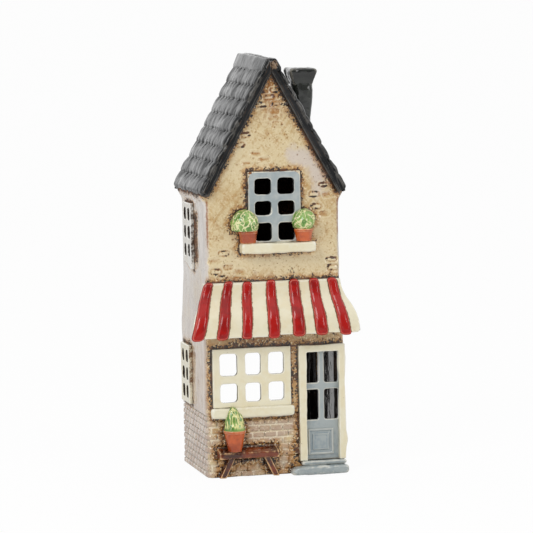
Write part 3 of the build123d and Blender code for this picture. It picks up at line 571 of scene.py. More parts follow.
def roof_glaze():
    """Charcoal glaze, shiny where it lies thick, with painted shade in the cuts and inner corners, painted
    highlights on its edges and in the verge lines, and a bare tip at the ridge.
    """
    g = Glaze("roof_glaze")
    edge, nook, bare, press, seam, shade = g.marks("edge nook bare press seam shade")
    runs = g.noise(2.0 * MM, 3, 1, g.stretched(0.12, 1.0, 0.1))
    cloud, grain, speck = g.noise(8 * MM, 3, 2), g.noise(2.2 * MM, 3, 4), g.noise(0.8 * MM, 2, 3)
    shine = g.ease(cloud + grain.sway(0.5) + runs.sway(0.35), 0.32, 0.66)
    cut = g.ease(press, 0.4, 0.7)
    far = g.ease(g.along(1), -ROOF_DEPTH / 2, ROOF_DEPTH / 2)
    g.colour = g.mix(g.ease(runs, 0.4, 0.65) * 0.6, (22, 23, 24), (36, 37, 39))
    # paler worn edges: thin glaze, and partly painted highlights
    g.wash((112, 108, 102), g.ease(edge + grain.sway(0.8), 0.5, 1.0) * 0.4)
    # painted shade: near black in the comb cuts, and a little in inner corners
    g.wash((6, 6, 6), cut.most(nook * 0.2))
    # pale grey and brown lines on the verge: partly glaze seams, partly painted highlights
    line = g.blend(cloud, 0.45, 0.55, (128, 125, 118), (104, 78, 56))
    g.wash(line, g.ease(seam + grain.sway(0.9), 0.45, 0.95) * 0.4)
    clay = g.blend(speck + grain.sway(0.5), 0.45, 0.6, (146, 122, 98), (74, 52, 38))
    g.wash(clay, g.ease(bare + grain.sway(1.6), 0.4, 0.9) * 0.8)
    coat = (0.17 + far * 0.34 + shine * 0.46) * (1 - shade * 0.5) * (1 - cut * 0.9)
    return g.fire(Roughness=0.3, Specular_IOR_Level=0.1, Coat_Weight=coat, Coat_Roughness=0.17,
                  Normal=g.bump(runs * 0.15 + grain * 0.5 + cloud * 1.5, 0.1 * MM))


def worn_glaze(name, body, gathered, thin, slot=None, thin_share=0.8, gloss=0.14, mottle=0.6, shine=0.5,
               contact=(112, 76, 44), grain_line=(1.0, 1.0, 1.0)):
    """A one-colour glaze: deeper where it gathers, pale on edges where it runs thin and partly as a painted
    highlight, brown where it meets the wall.
    """
    g = Glaze(name, slot)
    edge, nook, pool, jamb, bare = g.marks("edge nook pool jamb bare")
    brushed = g.stretched(*grain_line)
    cloud, grain, speck = g.noise(8 * MM, 4, 1), g.noise(1.8 * MM, 3, 2, brushed), g.noise(0.65 * MM, 2, 3)
    g.colour = g.mix(g.ease(cloud + grain.sway(0.6), 0.4, 0.66) * mottle, body, gathered)
    g.wash(gathered, g.ease(nook + grain.sway(0.4), 0.12, 0.7) * 0.85)
    # pale edges: thin glaze, and on the red, terracotta and bench glazes partly a painted highlight
    g.wash(thin, g.ease(edge + grain.sway(0.6), 0.18, 0.75) * thin_share)
    g.wash(contact, g.ease(pool + grain.sway(1.3) + speck.sway(0.8), 0.4, 0.85) * 0.97)
    g.wash(contact, g.ease(speck, 0.7, 0.76) * g.ease(grain, 0.48, 0.58) * 0.5)
    # painted shade on the inner sides of the panes
    g.wash((40, 27, 17), jamb * 0.95)
    clay = g.blend(grain + speck.sway(0.6), 0.5, 0.6, (224, 212, 184), (132, 84, 44))
    g.wash(clay, g.ease(bare + grain.sway(0.9), 0.4, 0.7))
    return g.fire(Roughness=gloss + grain.sway(0.1), Coat_Weight=shine, Specular_IOR_Level=shine,
                  Coat_Roughness=0.05, Normal=g.bump(grain * 0.6 + speck * 0.2 + cloud * 0.8, 0.1 * MM))


def veins(g, size, seed, wide, spot=None):
    """Thin curling strokes."""
    return 1 - g.ease(abs(g.noise(size, 1.5, seed, spot) - 0.5), wide * 0.4, wide)


def leaf_glaze():
    """Green strokes for leaves, cream between them."""
    g = Glaze("bush_glaze")
    pool, edge = g.marks("pool edge")
    patch, grain = g.noise(3 * MM, 3, 1), g.noise(1.1 * MM, 3, 2)
    g.colour = g.blend(patch + grain.sway(0.5), 0.38, 0.6, (84, 130, 50), (140, 174, 90))
    strokes = veins(g, 2.2 * MM, 3, 0.04).most(veins(g, 2.8 * MM, 4, 0.034))
    g.wash((232, 227, 172), strokes.most(g.ease(edge, 0.4, 0.9) * 0.6) * 0.95)
    g.wash((84, 70, 36), g.ease(pool + grain.sway(0.7), 0.5, 0.95) * 0.8)
    return g.fire(Roughness=0.13 + grain * 0.06, Normal=g.bump(strokes + grain * 0.4, 0.14 * MM), **GLOSSY)


def cactus_glaze():
    """Cream strokes rising from the pot over green, greener at its foot."""
    g = Glaze("cactus_glaze")
    rising = g.stretched(1.0, 1.0, 0.24)
    patch, grain = g.noise(3 * MM, 3, 2), g.noise(1.1 * MM, 3, 4)
    g.colour = g.blend(patch, 0.4, 0.62, (84, 130, 52), (136, 168, 84))
    strokes = veins(g, 1.4 * MM, 5, 0.05, rising).most(veins(g, 1.8 * MM, 7, 0.045, rising))
    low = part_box("bench_cactus")[0].z
    strokes = strokes * g.ease(g.along(2), low + 0.5 * MM, low + 3 * MM)
    g.wash((226, 222, 152), strokes)
    return g.fire(Roughness=0.15 + grain * 0.06, Normal=g.bump(strokes, 0.15 * MM), **GLOSSY)


def cup_foil():
    """Thin pressed aluminium, faintly drawn upwards."""
    g = Glaze("cup_foil", "cup_metal")
    drawn = g.noise(0.8 * MM, 3, 1, g.stretched(1.0, 1.0, 0.15))
    g.colour = g.mix(g.noise(6 * MM, 2, 2), (206, 207, 210), (228, 228, 230))
    return g.fire(Metallic=1.0, Roughness=0.2 + 0.2 * drawn, Normal=g.bump(drawn, 0.05 * MM))


def candle_wax():
    """Creamy wax, a little cloudy."""
    g = Glaze("candle_wax", "wax")
    cloud, grain = g.noise(6 * MM, 3, 1), g.noise(1 * MM, 2, 2)
    g.colour = g.mix(cloud, (238, 233, 218), (247, 244, 234))
    return g.fire(Roughness=0.35 + 0.15 * grain, Subsurface_Weight=0.15,
                  Subsurface_Radius=(2 * MM, 1.4 * MM, 0.8 * MM),
                  Normal=g.bump(cloud + grain * 0.2, 0.1 * MM))


def wick_cotton():
    """Braided cotton."""
    g = Glaze("wick_cotton")
    braid = g.noise(0.5 * MM, 2, 1, g.stretched(1.0, 1.0, 0.6))
    g.colour = g.mix(braid, (196, 188, 170), (238, 234, 222))
    return g.fire(Roughness=0.9, Normal=g.bump(braid, 0.15 * MM))


def tab_tin():
    """Tinned sheet with rolling lines."""
    g = Glaze("tab_tin")
    lines = g.noise(0.6 * MM, 2, 1, g.stretched(1.0, 0.12, 1.0))
    g.colour = g.mix(lines, (150, 151, 154), (182, 182, 184))
    return g.fire(Metallic=1.0, Roughness=0.3 + 0.15 * lines, Normal=g.bump(lines, 0.04 * MM))


def chamber_glaze():
    """The dark brown glaze of the chamber's floor."""
    g = Glaze("chamber_glaze")
    cloud, grain = g.noise(9 * MM, 4, 1), g.noise(1.5 * MM, 3, 2)
    g.colour = g.blend(cloud, 0.45, 0.7, (32, 20, 13), (74, 47, 26))
    return g.fire(Roughness=0.22 + 0.1 * grain, Coat_Weight=0.3, Coat_Roughness=0.08,
                  Normal=g.bump(grain, 0.1 * MM))


MADE = {}


def set_down(piece, glaze, body="house"):
    """The finished piece gets its glaze and rides on its body; the solid it is named after is hidden."""
    material, slot = glaze
    piece.data.materials.clear()
    piece.data.materials.append(material)
    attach(piece, body)
    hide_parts(piece.name.rsplit("_", 1)[0])
    MADE[piece.name] = piece
    return piece


def reglaze(node, glaze):
    """A solid that is kept as it is gets its own glaze."""
    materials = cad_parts[node].data.materials
    materials.clear()
    materials.append(glaze[0])


def fired(piece, glaze, grain, rounds, hand=HAND, fine=FINE, blur=2):
    """Softened, marked for its glaze and set down."""
    soften(piece, grain, rounds, hand, fine)
    mark_edges(piece, grain, blur)
    return set_down(piece, glaze)


def spans(low, steps, unit=MM):
    """Clear runs between bars; steps are bar and gap by turns."""
    runs = []
    for bar, gap in zip(steps[0::2], steps[1::2]):
        runs.append((low + bar * unit, low + bar * unit + gap * unit))
        low = runs[-1][1]
    return runs


def pane_frame(name, low, high, columns, rows, corner=PANE_ROUND):
    """A slab across the front with round-cornered panes cut right through it."""
    piece = block(name, low, high)
    for runs, normal in ((columns, (1, 0, 0)), (rows, (0, 0, 1))):
        for at in [edge for run in runs for edge in run]:
            slice_through(piece, [at * part for part in normal], normal)
    for x0, x1 in columns:
        for z0, z1 in rows:
            pick(piece, "FACE", lambda face: abs(face.normal.y) > 0.9 and x0 < face.center.x < x1
                 and z0 < face.center.z < z1)
            bpy.ops.mesh.bridge_edge_loops()
            leave_edit()
    rim = 0.1 * MM
    inside = lambda m: low[0] + rim < m.x < high[0] - rim and low[2] + rim < m.z < high[2] - rim
    round_edges(piece, corner, running(piece, 1, inside), 5)
    return piece


def paint_jamb_shade(piece, low, columns, rows, strength, lip=0.5 * MM):
    """Painted shade: dark colour on the inner sides of the panes, behind their front lip."""
    points, _ = points_of(piece)
    x, y, z = points.T
    within = lambda values, runs: np.max([ease(values, a - 0.5 * MM, a) * ease(-values, -b - 0.5 * MM, -b)
                                          for a, b in runs], axis=0)
    behind = ease(y, low[1] + lip, low[1] + 2 * lip + 0.3 * MM)
    mark(piece, "jamb", strength * behind * within(x, columns) * within(z, rows))


def paned(node, glaze, columns, rows, jamb, rounds, hand, fine=FINE, corner=PANE_ROUND, back=BACK_LET):
    """A frame with panes in the place of its solid, let into what lies behind it."""
    low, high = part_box(node)
    columns, rows = spans(low.x, columns), spans(low.z, rows)
    piece = pane_frame(node + "_glazed", low, high + back, columns, rows, corner)
    fired(piece, glaze, FINE_GRAIN, rounds, hand, fine, 3)
    paint_jamb_shade(piece, low, columns, rows, jamb)
    return piece


def front_windows():
    """The shop window's and the upper window's frames; glaze missed the upper one's top corners."""
    paned("shop_window_frame", CREAM, SHOP_COLUMNS, SHOP_ROWS, jamb=0.7, rounds=8, hand=0.7 * MM)
    upper = paned("upper_window_frame", BLUE, UPPER_COLUMNS, UPPER_ROWS, jamb=0.8, rounds=6, hand=1.1 * MM,
                  fine=0.2 * MM)
    low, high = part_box("upper_window_frame")
    x, _, z = points_of(upper)[0].T
    out = np.hypot(np.maximum(np.abs(x - (low.x + high.x) / 2) - (high.x - low.x) / 2 + BARE_CORNER, 0),
                   np.maximum(z - high.z + BARE_CORNER, 0))
    mark(upper, "bare", ease(out, 4.2 * MM, 5.4 * MM) * ease(z, low.z + 18 * MM, high.z - 4 * MM))


def side_windows():
    """One small frame, modelled facing the front, copied and turned to both sides."""
    low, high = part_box(SIDE_WINDOWS[0])
    width, height, thick = high.y - low.y, high.z - low.z, high.x - low.x
    gap = (width - 2 * SIDE_STILE - SIDE_BAR) / 2
    row = (height - 2 * SIDE_STILE - 2 * SIDE_BAR) / 3
    columns = spans(-width / 2, (SIDE_STILE, gap, SIDE_BAR, gap), 1)
    rows = spans(-height / 2, (SIDE_STILE, row, SIDE_BAR, row, SIDE_BAR, row), 1)
    face = (-width / 2, -thick, -height / 2)
    model = pane_frame("side_window", face, (width / 2, BACK_LET.y, height / 2), columns, rows)
    soften(model, FINE_GRAIN, rounds=7, hand=0, fine=0)
    paint_jamb_shade(model, face, columns, rows, strength=1.0, lip=0.15 * MM)
    for node in SIDE_WINDOWS:
        low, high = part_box(node)
        left, upper = low.x < 0, "upper" in node
        piece = copy_of(model, node + "_glazed")
        place = (high.x if left else low.x, (low.y + high.y) / 2, (low.z + high.z) / 2)
        turn = Matrix.Rotation(math.radians(-90 if left else 90), 4, "Z")
        piece.data.transform(Matrix.Translation(place) @ turn)
        if upper:
            slump = points_of(piece)[0]
            ahead = ease(-slump[:, 1], -high.y, -low.y)
            slump[:, 2] -= SIDE_SLUMP * ahead * ease(-slump[:, 2], -low.z - 3 * MM, -low.z)
            move_points(piece, slump)
        handle(piece, hand=0.8 * MM, fine=0.15 * MM)
        mark_edges(piece, FINE_GRAIN, 3)
        set_down(piece, WHITE if upper else CREAM)
    bpy.data.objects.remove(model)


def ledge(node, glaze, worn, rounds, hand):
    """A ledge in the place of its solid, with worn edges."""
    piece = block(node + "_glazed", *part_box(node))
    round_edges(piece, worn)
    return fired(piece, glaze, MID_GRAIN, rounds, hand, 0.3 * hand)


def door():
    """Case, leaf with four panes, the stepped panel, threshold and doorstep."""
    low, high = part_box("door_case")
    case = block("door_case_glazed", low - CASE_LET, high + BACK_LET)
    carve(case, block("doorway", (low.x + DOOR_POST, low.y - WALL, low.z - WALL),
                      (high.x - DOOR_POST, high.y + WALL, high.z - DOOR_LINTEL)))
    soften(case, FINE_GRAIN, rounds=8, hand=1.5 * MM)
    bulge = points_of(case)[0]
    outer_post = ease(bulge[:, 0], high.x - 3 * MM, high.x - 1 * MM)
    bulge[:, 0] += CASE_BULGE * np.exp(-((bulge[:, 2] - low.z - BULGE_Z) / BULGE_TALL) ** 2) * outer_post
    move_points(case, bulge)
    mark_edges(case, FINE_GRAIN, 3)
    set_down(case, CREAM)
    paned("door_leaf", DOOR_BLUE, DOOR_COLUMNS, DOOR_ROWS, jamb=0.6, rounds=5, hand=0.4 * MM,
          corner=DOOR_PANE_ROUND, back=Vector())
    panel = block("door_panel_glazed", *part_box("door_panel"))
    pick(panel, "FACE", lambda face: face.normal.y < -0.9)
    for margin, inward in PANEL_STEPS:
        bpy.ops.mesh.inset(thickness=margin)
        draw_out(0, inward, 0)
    leave_edit()
    fired(panel, DOOR_BLUE, PANEL_GRAIN, rounds=3, hand=0.2 * MM, fine=0, blur=3)
    ledge("door_threshold", DOOR_BLUE, worn=1.2 * MM, rounds=8, hand=0.8 * MM)
    step = ledge("doorstep", DOOR_BLUE, worn=2.0 * MM, rounds=12, hand=1.4 * MM)
    low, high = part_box("doorstep")
    worn = points_of(step)[0]
    left_end = ease(-worn[:, 0], -low.x - STEP_END, -low.x)
    worn[:, 2] -= STEP_DROP * left_end * ease(worn[:, 2], low.z, high.z)
    worn[:, 1] += STEP_DRAW * left_end * ease(-worn[:, 1], -high.y, -low.y)
    move_points(step, worn)


def bench():
    """Seat, higher at the wall, and splayed legs."""
    low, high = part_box("bench_seat")
    seat = block("bench_seat_glazed", low, high)
    for vertex in seat.data.vertices:
        if vertex.co.y > low.y + 1 * MM and vertex.co.z > low.z + 1 * MM:
            vertex.co.z += SEAT_RISE
    round_edges(seat, SEAT_ROUND, segments=2)
    fired(seat, BENCH, FINE_GRAIN, rounds=2, hand=1.3 * MM, fine=0.4 * MM, blur=3)
    for node in ("bench_left_leg", "bench_right_leg"):
        low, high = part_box(node)
        leg = block(node + "_glazed", low, high)
        ends = (low.x, high.x - LEG_WIDE)
        foot_x, top_x = ends if node == "bench_left_leg" else ends[::-1]
        for vertex in leg.data.vertices:
            at_top = vertex.co.z > (low.z + high.z) / 2
            inner = vertex.co.x > (low.x + high.x) / 2
            vertex.co.x = (top_x if at_top else foot_x) + (LEG_WIDE if inner else 0)
        fired(leg, BENCH, FINE_GRAIN, rounds=3, hand=0.6 * MM, fine=0.3 * MM, blur=3)


def pot(node, narrow):
    """A turned pot with a rim and a hollow top."""
    low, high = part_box(node)
    middle = (low + high) / 2
    radius = (high.x - low.x) / 2
    neck = radius - POT_LIP
    piece = drum(node + "_glazed", (middle.x, low.y + radius, low.z), high.z - POT_RIM, radius * narrow, neck)
    pick_top(piece)
    draw_out(0, 0, 0)
    bpy.ops.transform.resize(value=(radius / neck, radius / neck, 1))
    draw_out(0, 0, POT_RIM)
    bpy.ops.mesh.inset(thickness=POT_WALL)
    draw_out(0, 0, -POT_WALL)
    leave_edit()
    slice_through(piece, (0, high.y, 0), (0, 1, 0), drop=True)
    fired(piece, TERRACOTTA, FINE_GRAIN, rounds=5)


def ball(name, rounds, radius, place, scale=(1, 1, 1)):
    """A ball of clay."""
    bpy.ops.object.select_all(action="DESELECT")
    bpy.ops.mesh.primitive_ico_sphere_add(subdivisions=rounds, radius=radius, location=place, scale=scale)
    return settle(bpy.context.object, name)


def trim(piece, foot, back):
    """Cuts a plant off at its foot and flat against the wall."""
    slice_through(piece, (0, 0, foot), (0, 0, -1), drop=True)
    slice_through(piece, (0, back, 0), (0, 1, 0), drop=True)


LEAF_LUMPS = bpy.data.textures.new("leaf_lumps", "VORONOI")
LEAF_LUMPS.noise_scale = 3.6 * MM
LEAF_LUMPS.distance_metric = "DISTANCE"


def bush(node):
    """A clipped ball of leaves pressed against the wall."""
    low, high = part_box(node)
    radius = (high.x - low.x) / 2
    piece = ball(node + "_glazed", 6, radius, Vector(((low.x + high.x) / 2, low.y + radius, high.z - radius)))
    push(piece, LEAF_LUMPS, strength=-0.9 * MM, middle=0.35)
    push(piece, HAND_LUMPS, strength=1.2 * MM)
    trim(piece, low.z, high.y)
    fired(piece, LEAVES, FINE_GRAIN, rounds=2, hand=0, fine=0)


def cactus():
    """A plant with a side shoot in the bench pot."""
    low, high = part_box("bench_cactus")
    radius, tall = (high.x - low.x) / 2, high.z - low.z
    middle_x, middle_y = (low.x + high.x) / 2, low.y + radius
    shoots = [ball("shoot", 5, 1, (middle_x + shift * radius, middle_y, low.z),
                   (wide * radius, wide * radius, tall * share)) for shift, wide, share in CACTUS_SHOOTS]
    piece = join(shoots, "bench_cactus_glazed")
    finish_with(piece, "REMESH", mode="VOXEL", voxel_size=FINE_GRAIN)
    trim(piece, low.z - CACTUS_ROOT, high.y)
    fired(piece, CACTUS, FINE_GRAIN, rounds=3, hand=0.8 * MM, fine=0.4 * MM)


AWNING_BEND = AWNING_REACH - AWNING_LIP
AWNING_TALL = AWNING_TOP - AWNING_Z
AWNING_RADIUS = (AWNING_TALL ** 2 + AWNING_BEND ** 2) / (4 * AWNING_BEND)


def awning_out(down):
    """How far the awning's face stands out, 0 at its top, and how steeply it leaves the wall."""
    fall = np.clip(down, 0, 1) * AWNING_TALL
    upper = fall <= AWNING_TALL / 2
    run = np.where(upper, fall, AWNING_TALL - fall)
    bow = AWNING_RADIUS - np.sqrt(AWNING_RADIUS ** 2 - run ** 2)
    lean = run / np.sqrt(AWNING_RADIUS ** 2 - run ** 2)
    return np.where(upper, bow, AWNING_BEND - bow), lean


def awning_sheet(x, down, above):
    """Points of the S-shaped awning: down 0 to 1, above its outer face."""
    out, lean = awning_out(down)
    length = np.sqrt(1 + lean ** 2)
    y = FRONT - AWNING_LIP - out - above / length
    z = AWNING_TOP - down * AWNING_TALL + above * lean / length
    return np.stack([x, y, z], axis=1)


def wrap_on_awning(piece, left, right):
    """Bends a flat bar, lying on its back, over the awning between two lines down it."""
    x, y, z = points_of(piece)[0].T
    down = y / AWNING_TALL
    share = (x - x.min()) / (x.max() - x.min())
    move_points(piece, awning_sheet(left(down) + (right(down) - left(down)) * share, down, z))
    only(piece)
    bpy.ops.object.mode_set(mode="EDIT")
    bpy.ops.mesh.select_all(action="SELECT")
    bpy.ops.mesh.normals_make_consistent(inside=False)
    leave_edit()


def line_down(top, foot, fall):
    """A line over the awning from a place at its top to one at its foot, by a law of its fall."""
    return lambda down: top + (foot - top) * fall(down)


def straight(down):
    """A line that goes evenly from top to foot."""
    return down


def belled(down):
    """A line that spreads as the awning stands out."""
    return awning_out(np.clip(down, 0, 1) ** 0.85)[0] / AWNING_BEND


def full(down):
    """A line that has spread early."""
    return np.sin(np.clip(down, 0, 1) * math.pi / 2)


def rim_of(x, y, corner):
    """How far points lie inside a bar's round-cornered outline."""
    beyond = np.stack([np.abs(row - (row.min() + row.max()) / 2) - (row.max() - row.min()) / 2 + corner
                       for row in (x, y)])
    return corner - np.hypot(*np.maximum(beyond, 0)) - np.minimum(beyond.max(axis=0), 0)


def red_bar(number, rng, start, middle, wide_top, wide_foot):
    """A thick domed bar with a pale line along its rim: thin glaze there, and partly a painted highlight."""
    rise, corner = rng.uniform(0.5, 1.3) * MM, BAR_CORNER * wide_foot
    bar = block(f"awning_red_stripe_{number}_glazed", (start, -rise, -STRIPE_LET),
                (start + wide_foot, AWNING_TALL + STRIPE_DROP + rng.uniform(0.2, 1.0) * MM, RED_THICK))
    round_edges(bar, corner, running(bar, 2))
    round_edges(bar, BAR_ROUND, running(bar, 1, lambda middle: middle.z > 0), 3)
    soften(bar, FINE_GRAIN, rounds=6, hand=1.1 * MM, fine=0.1 * MM)
    points = points_of(bar)[0]
    x, y, z = points.T
    rim = rim_of(x, y, corner)
    points[:, 2] -= BAR_DOME * (1 - ease(rim, 0, DOME_SHARE * wide_foot)) * ease(z, 0, 1 * MM)
    move_points(bar, points)
    half = line_down(wide_top / 2, wide_foot / 2, full)
    wrap_on_awning(bar, lambda down: middle(down) - half(down), lambda down: middle(down) + half(down))
    mark_edges(bar, FINE_GRAIN, 3)
    # a pale line along the rim: thin glaze, and partly a painted highlight
    mark(bar, "edge", 0.6 * np.exp(-((rim - RIM_IN) / RIM_WIDE) ** 2))
    return set_down(bar, RED)


def cream_stripe(number, rng, start, left, right):
    """A thin stripe from the middle of one red bar to the next."""
    stripe = block(f"awning_cream_stripe_{number}_glazed", (start + FLAT_CREAM, 0.4 * MM, -STRIPE_LET),
                   (start + FLAT_CREAM_END, AWNING_TALL + STRIPE_DROP * rng.uniform(0.2, 0.7), CREAM_THICK))
    round_edges(stripe, CREAM_ROUND, running(stripe, 2))
    soften(stripe, FINE_GRAIN, rounds=6, hand=0.8 * MM, fine=0.2 * MM)
    wrap_on_awning(stripe, left, right)
    mark_edges(stripe, FINE_GRAIN, 3)
    return set_down(stripe, CREAM)


def awning():
    """The curved sheet, cream stripes on it and thicker red bars over their edges."""
    foot_half = AWNING_TOP_HALF + AWNING_FLARE
    left, right = (line_down(AWNING_SHIFT + side * AWNING_TOP_HALF, AWNING_SHIFT + side * foot_half, belled)
                   for side in (-1, 1))
    sheet = block("awning_slab_glazed", (0, 0, -AWNING_THICK), (2 * AWNING_TOP_HALF, AWNING_TALL, 0))
    soften(sheet, MID_GRAIN, rounds=4, hand=0, fine=0)
    wrap_on_awning(sheet, lambda down: left(down) + 1.2 * MM, right)
    mark_edges(sheet, MID_GRAIN)
    set_down(sheet, CREAM)
    rng = random.Random(5)
    middles = [line_down(top * MM, foot * MM, straight) for top, _, foot, _ in RED_BARS]
    ends = middles[1:] + [lambda down: right(down) - 0.4 * MM]
    reds, creams = [], []
    for number, (_, wide_top, _, wide_foot) in enumerate(RED_BARS, 1):
        start, middle, end = number * FLAT_STEP, middles[number - 1], ends[number - 1]
        reds.append(red_bar(number, rng, start, middle, wide_top * MM, wide_foot * MM))
        creams.append(cream_stripe(number, rng, start, middle, end))
    for pieces, others, reach in ((reds, creams, 0.7 * MM), (creams, reds, 0.9 * MM)):
        tree = tree_of(others)
        for piece in pieces:
            mark(piece, "pool", near(tree, points_of(piece)[0], reach))


def on_slope(side):
    """Lays what is modelled flat (x along the ridge, y up the slope, z out) on a roof slope."""
    along = Vector((0, side, 0))
    up = Vector((-side * math.cos(ROOF_PITCH), 0, math.sin(ROOF_PITCH)))
    out = Vector((side * math.sin(ROOF_PITCH), 0, math.cos(ROOF_PITCH)))
    turn = Matrix((along, up, out)).transposed().to_4x4()
    return Matrix.Translation((side * EAVE_TIP_X, 0, EAVE_TIP_Z)) @ turn


def mark_bare_tip(piece):
    """The glaze missed the front tip of the ridge."""
    x, y, z = points_of(piece)[0].T
    away = np.hypot(x - 1.5 * MM, (z - GABLE_Z - 0.5 * MM) * 0.8)
    mark(piece, "bare", ease(-away, -4.2 * MM, -1.4 * MM) * ease(-y, ROOF_DEPTH / 2 - 3 * MM, ROOF_DEPTH / 2))


def roof_slab(side, node):
    """A bare slab under the tiles, mitred at the ridge and cut off under its cap."""
    half = ROOF_DEPTH / 2
    piece = block(node + "_glazed", (-half, 0, -SLAB - SLAB_LET), (half, SLOPE_LENGTH + SLAB, SLAB_PROUD))
    piece.data.transform(on_slope(side))
    slice_through(piece, (0, 0, 0), (-side, 0, 0), drop=True)
    slice_through(piece, (0, 0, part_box("ridge_cap")[1].z - CAP_CUT), (0, 0, 1), drop=True)
    fired(piece, ROOF, ROOF_GRAIN, rounds=3, hand=0.6 * MM)
    mark_bare_tip(piece)
    # pale grey and brown lines along the slab's front edge, partly painted highlights
    x, y, z = points_of(piece)[0].T
    out = (x * side - EAVE_TIP_X) * math.sin(ROOF_PITCH) + (z - EAVE_TIP_Z) * math.cos(ROOF_PITCH)
    rng = random.Random(8)
    lines = 0
    for deep in SEAM_AND_HIGHLIGHT_DEPTHS:
        waver = 0.5 * MM * ripple(z, rng, [9 * MM, 17 * MM, 40 * MM])
        lines = lines + np.exp(-((out + deep + waver) / (0.4 * MM)) ** 2)
    mark(piece, "seam", lines * ease(np.abs(y), half - 1.2 * MM, half - 0.6 * MM))


def ripple(values, rng, lengths):
    """A wavy line made of a few waves, about -1 to 1."""
    return sum(np.sin(values * 2 * math.pi / (length * rng.uniform(0.8, 1.25)) + rng.uniform(0, 6.3))
               for length in lengths) / len(lengths)


def comb_tiles(piece, rng, pitch):
    """Notches the lower edge of each course between its tiles and draws faint joints from the notches."""
    points, _ = points_of(piece)
    x, y, z = points.T
    press = np.zeros(len(x))
    for row in range(COURSES + 1):
        butt = row * pitch - TILE_LAP + 0.5 * MM * ripple(x, rng, [9 * MM, 21 * MM])
        here = np.abs(y - butt) < 7 * MM
        below, across = (butt - y)[here], x[here]
        for number in range(TILES):
            at = ROOF_DEPTH / TILES * (number + 0.5 * (row % 2)) - ROOF_DEPTH / 2
            at += rng.uniform(-1.2, 1.2) * MM
            wide, lean = rng.uniform(0.9, 1.5) * MM, rng.uniform(-0.3, 0.3)
            deep = rng.choice((0.5, 0.8, 1.0, 1.0))
            dot = np.exp(-((across - at) / wide) ** 2 - ((below + 0.3 * MM) / (0.95 * MM)) ** 2) * deep
            line = np.exp(-((across - at - lean * below) / (0.45 * MM)) ** 2) * rng.uniform(0.1, 0.4)
            line *= 1 - ease(np.abs(below), 2 * MM, rng.uniform(3, 6.5) * MM)
            press[here] = np.maximum(press[here], np.maximum(dot, line))
    points[:, 2] -= press * ease(z, 0, 0.8 * MM) * NOTCH_DEEP
    move_points(piece, points)
    # press marks the notches and joints, where the roof glaze paints shade
    mark(piece, "press", press)
    mark(piece, "shade", ease(((y + TILE_LAP) / pitch) % 1.0, 0.5, 1.0))


def shape_course(course, rng, pitch):
    """One course, wavy along its lower edge, crowned and rounded off at its ends."""
    wave = points_of(course)[0]
    wave[:, 1] += ease(-wave[:, 1], -6 * MM, 0) * 0.6 * MM * ripple(wave[:, 0], rng, [11 * MM, 27 * MM])
    wave[:, 2] += 0.24 * MM * ripple(wave[:, 0], rng, [12 * MM, 21 * MM, 38 * MM])
    top = ease(wave[:, 2], 0, 0.8 * MM)
    wave[:, 2] += 0.6 * MM * (1 - np.clip(2 * wave[:, 1] / pitch - 1, -1, 1) ** 2) * top
    lobe = 3.6 * MM + 0.5 * MM * ripple(wave[:, 1], rng, [7 * MM])
    for away, reach, drop in ((ROOF_DEPTH / 2 - np.abs(wave[:, 0]), lobe, 2.0 * MM),
                              (wave[:, 1] + TILE_LAP, 3.0 * MM, 1.3 * MM)):
        share = np.clip(1 - away / reach, 0, 1)
        wave[:, 2] -= drop * (1 - np.sqrt(1 - share ** 2)) * top
    move_points(course, wave)


def roof_tiles(side, node):
    """Eight strips of clay up the slope, each lapping the one below and combed down on to it."""
    rng = random.Random(11 + side)
    half = ROOF_DEPTH / 2
    pitch = (SLOPE_LENGTH - RIDGE_RUN) / COURSES
    under = -0.6 * MM
    strip, eave = (block(name, (-half, -TILE_LAP, low), (half, pitch + 2 * MM, TILE_BUTT))
                   for name, low in (("tile_strip", under), ("eave_strip", under - SLAB)))
    for piece in (strip, eave):
        for vertex in piece.data.vertices:
            if vertex.co.y > 0:
                vertex.co.z = TILE_HEAD if vertex.co.z > 0 else under
    at_foot = lambda middle: middle.y < 0
    round_edges(strip, STRIP_ROUND, running(strip, 2, at_foot))
    round_edges(eave, EAVE_ROUND, running(eave, 0, at_foot))
    for piece in (strip, eave):
        soften(piece, TILE_GRAIN, rounds=5, hand=0, fine=0)
    courses = []
    for row in range(COURSES):
        course = copy_of(strip if row else eave, "course")
        shape_course(course, rng, pitch)
        course.data.transform(Matrix.Translation((0, row * pitch, 0))
                              @ Matrix.Rotation(math.radians(rng.uniform(-0.5, 0.5)), 4, "Z"))
        courses.append(course)
    for model in (strip, eave):
        bpy.data.objects.remove(model)
    piece = join(courses, node + "_glazed")
    comb_tiles(piece, rng, pitch)
    handle(piece, hand=1.5 * MM, fine=0.2 * MM)
    piece.data.transform(on_slope(side))
    piece.data.update()
    mark_edges(piece, TILE_GRAIN)
    set_down(piece, ROOF)


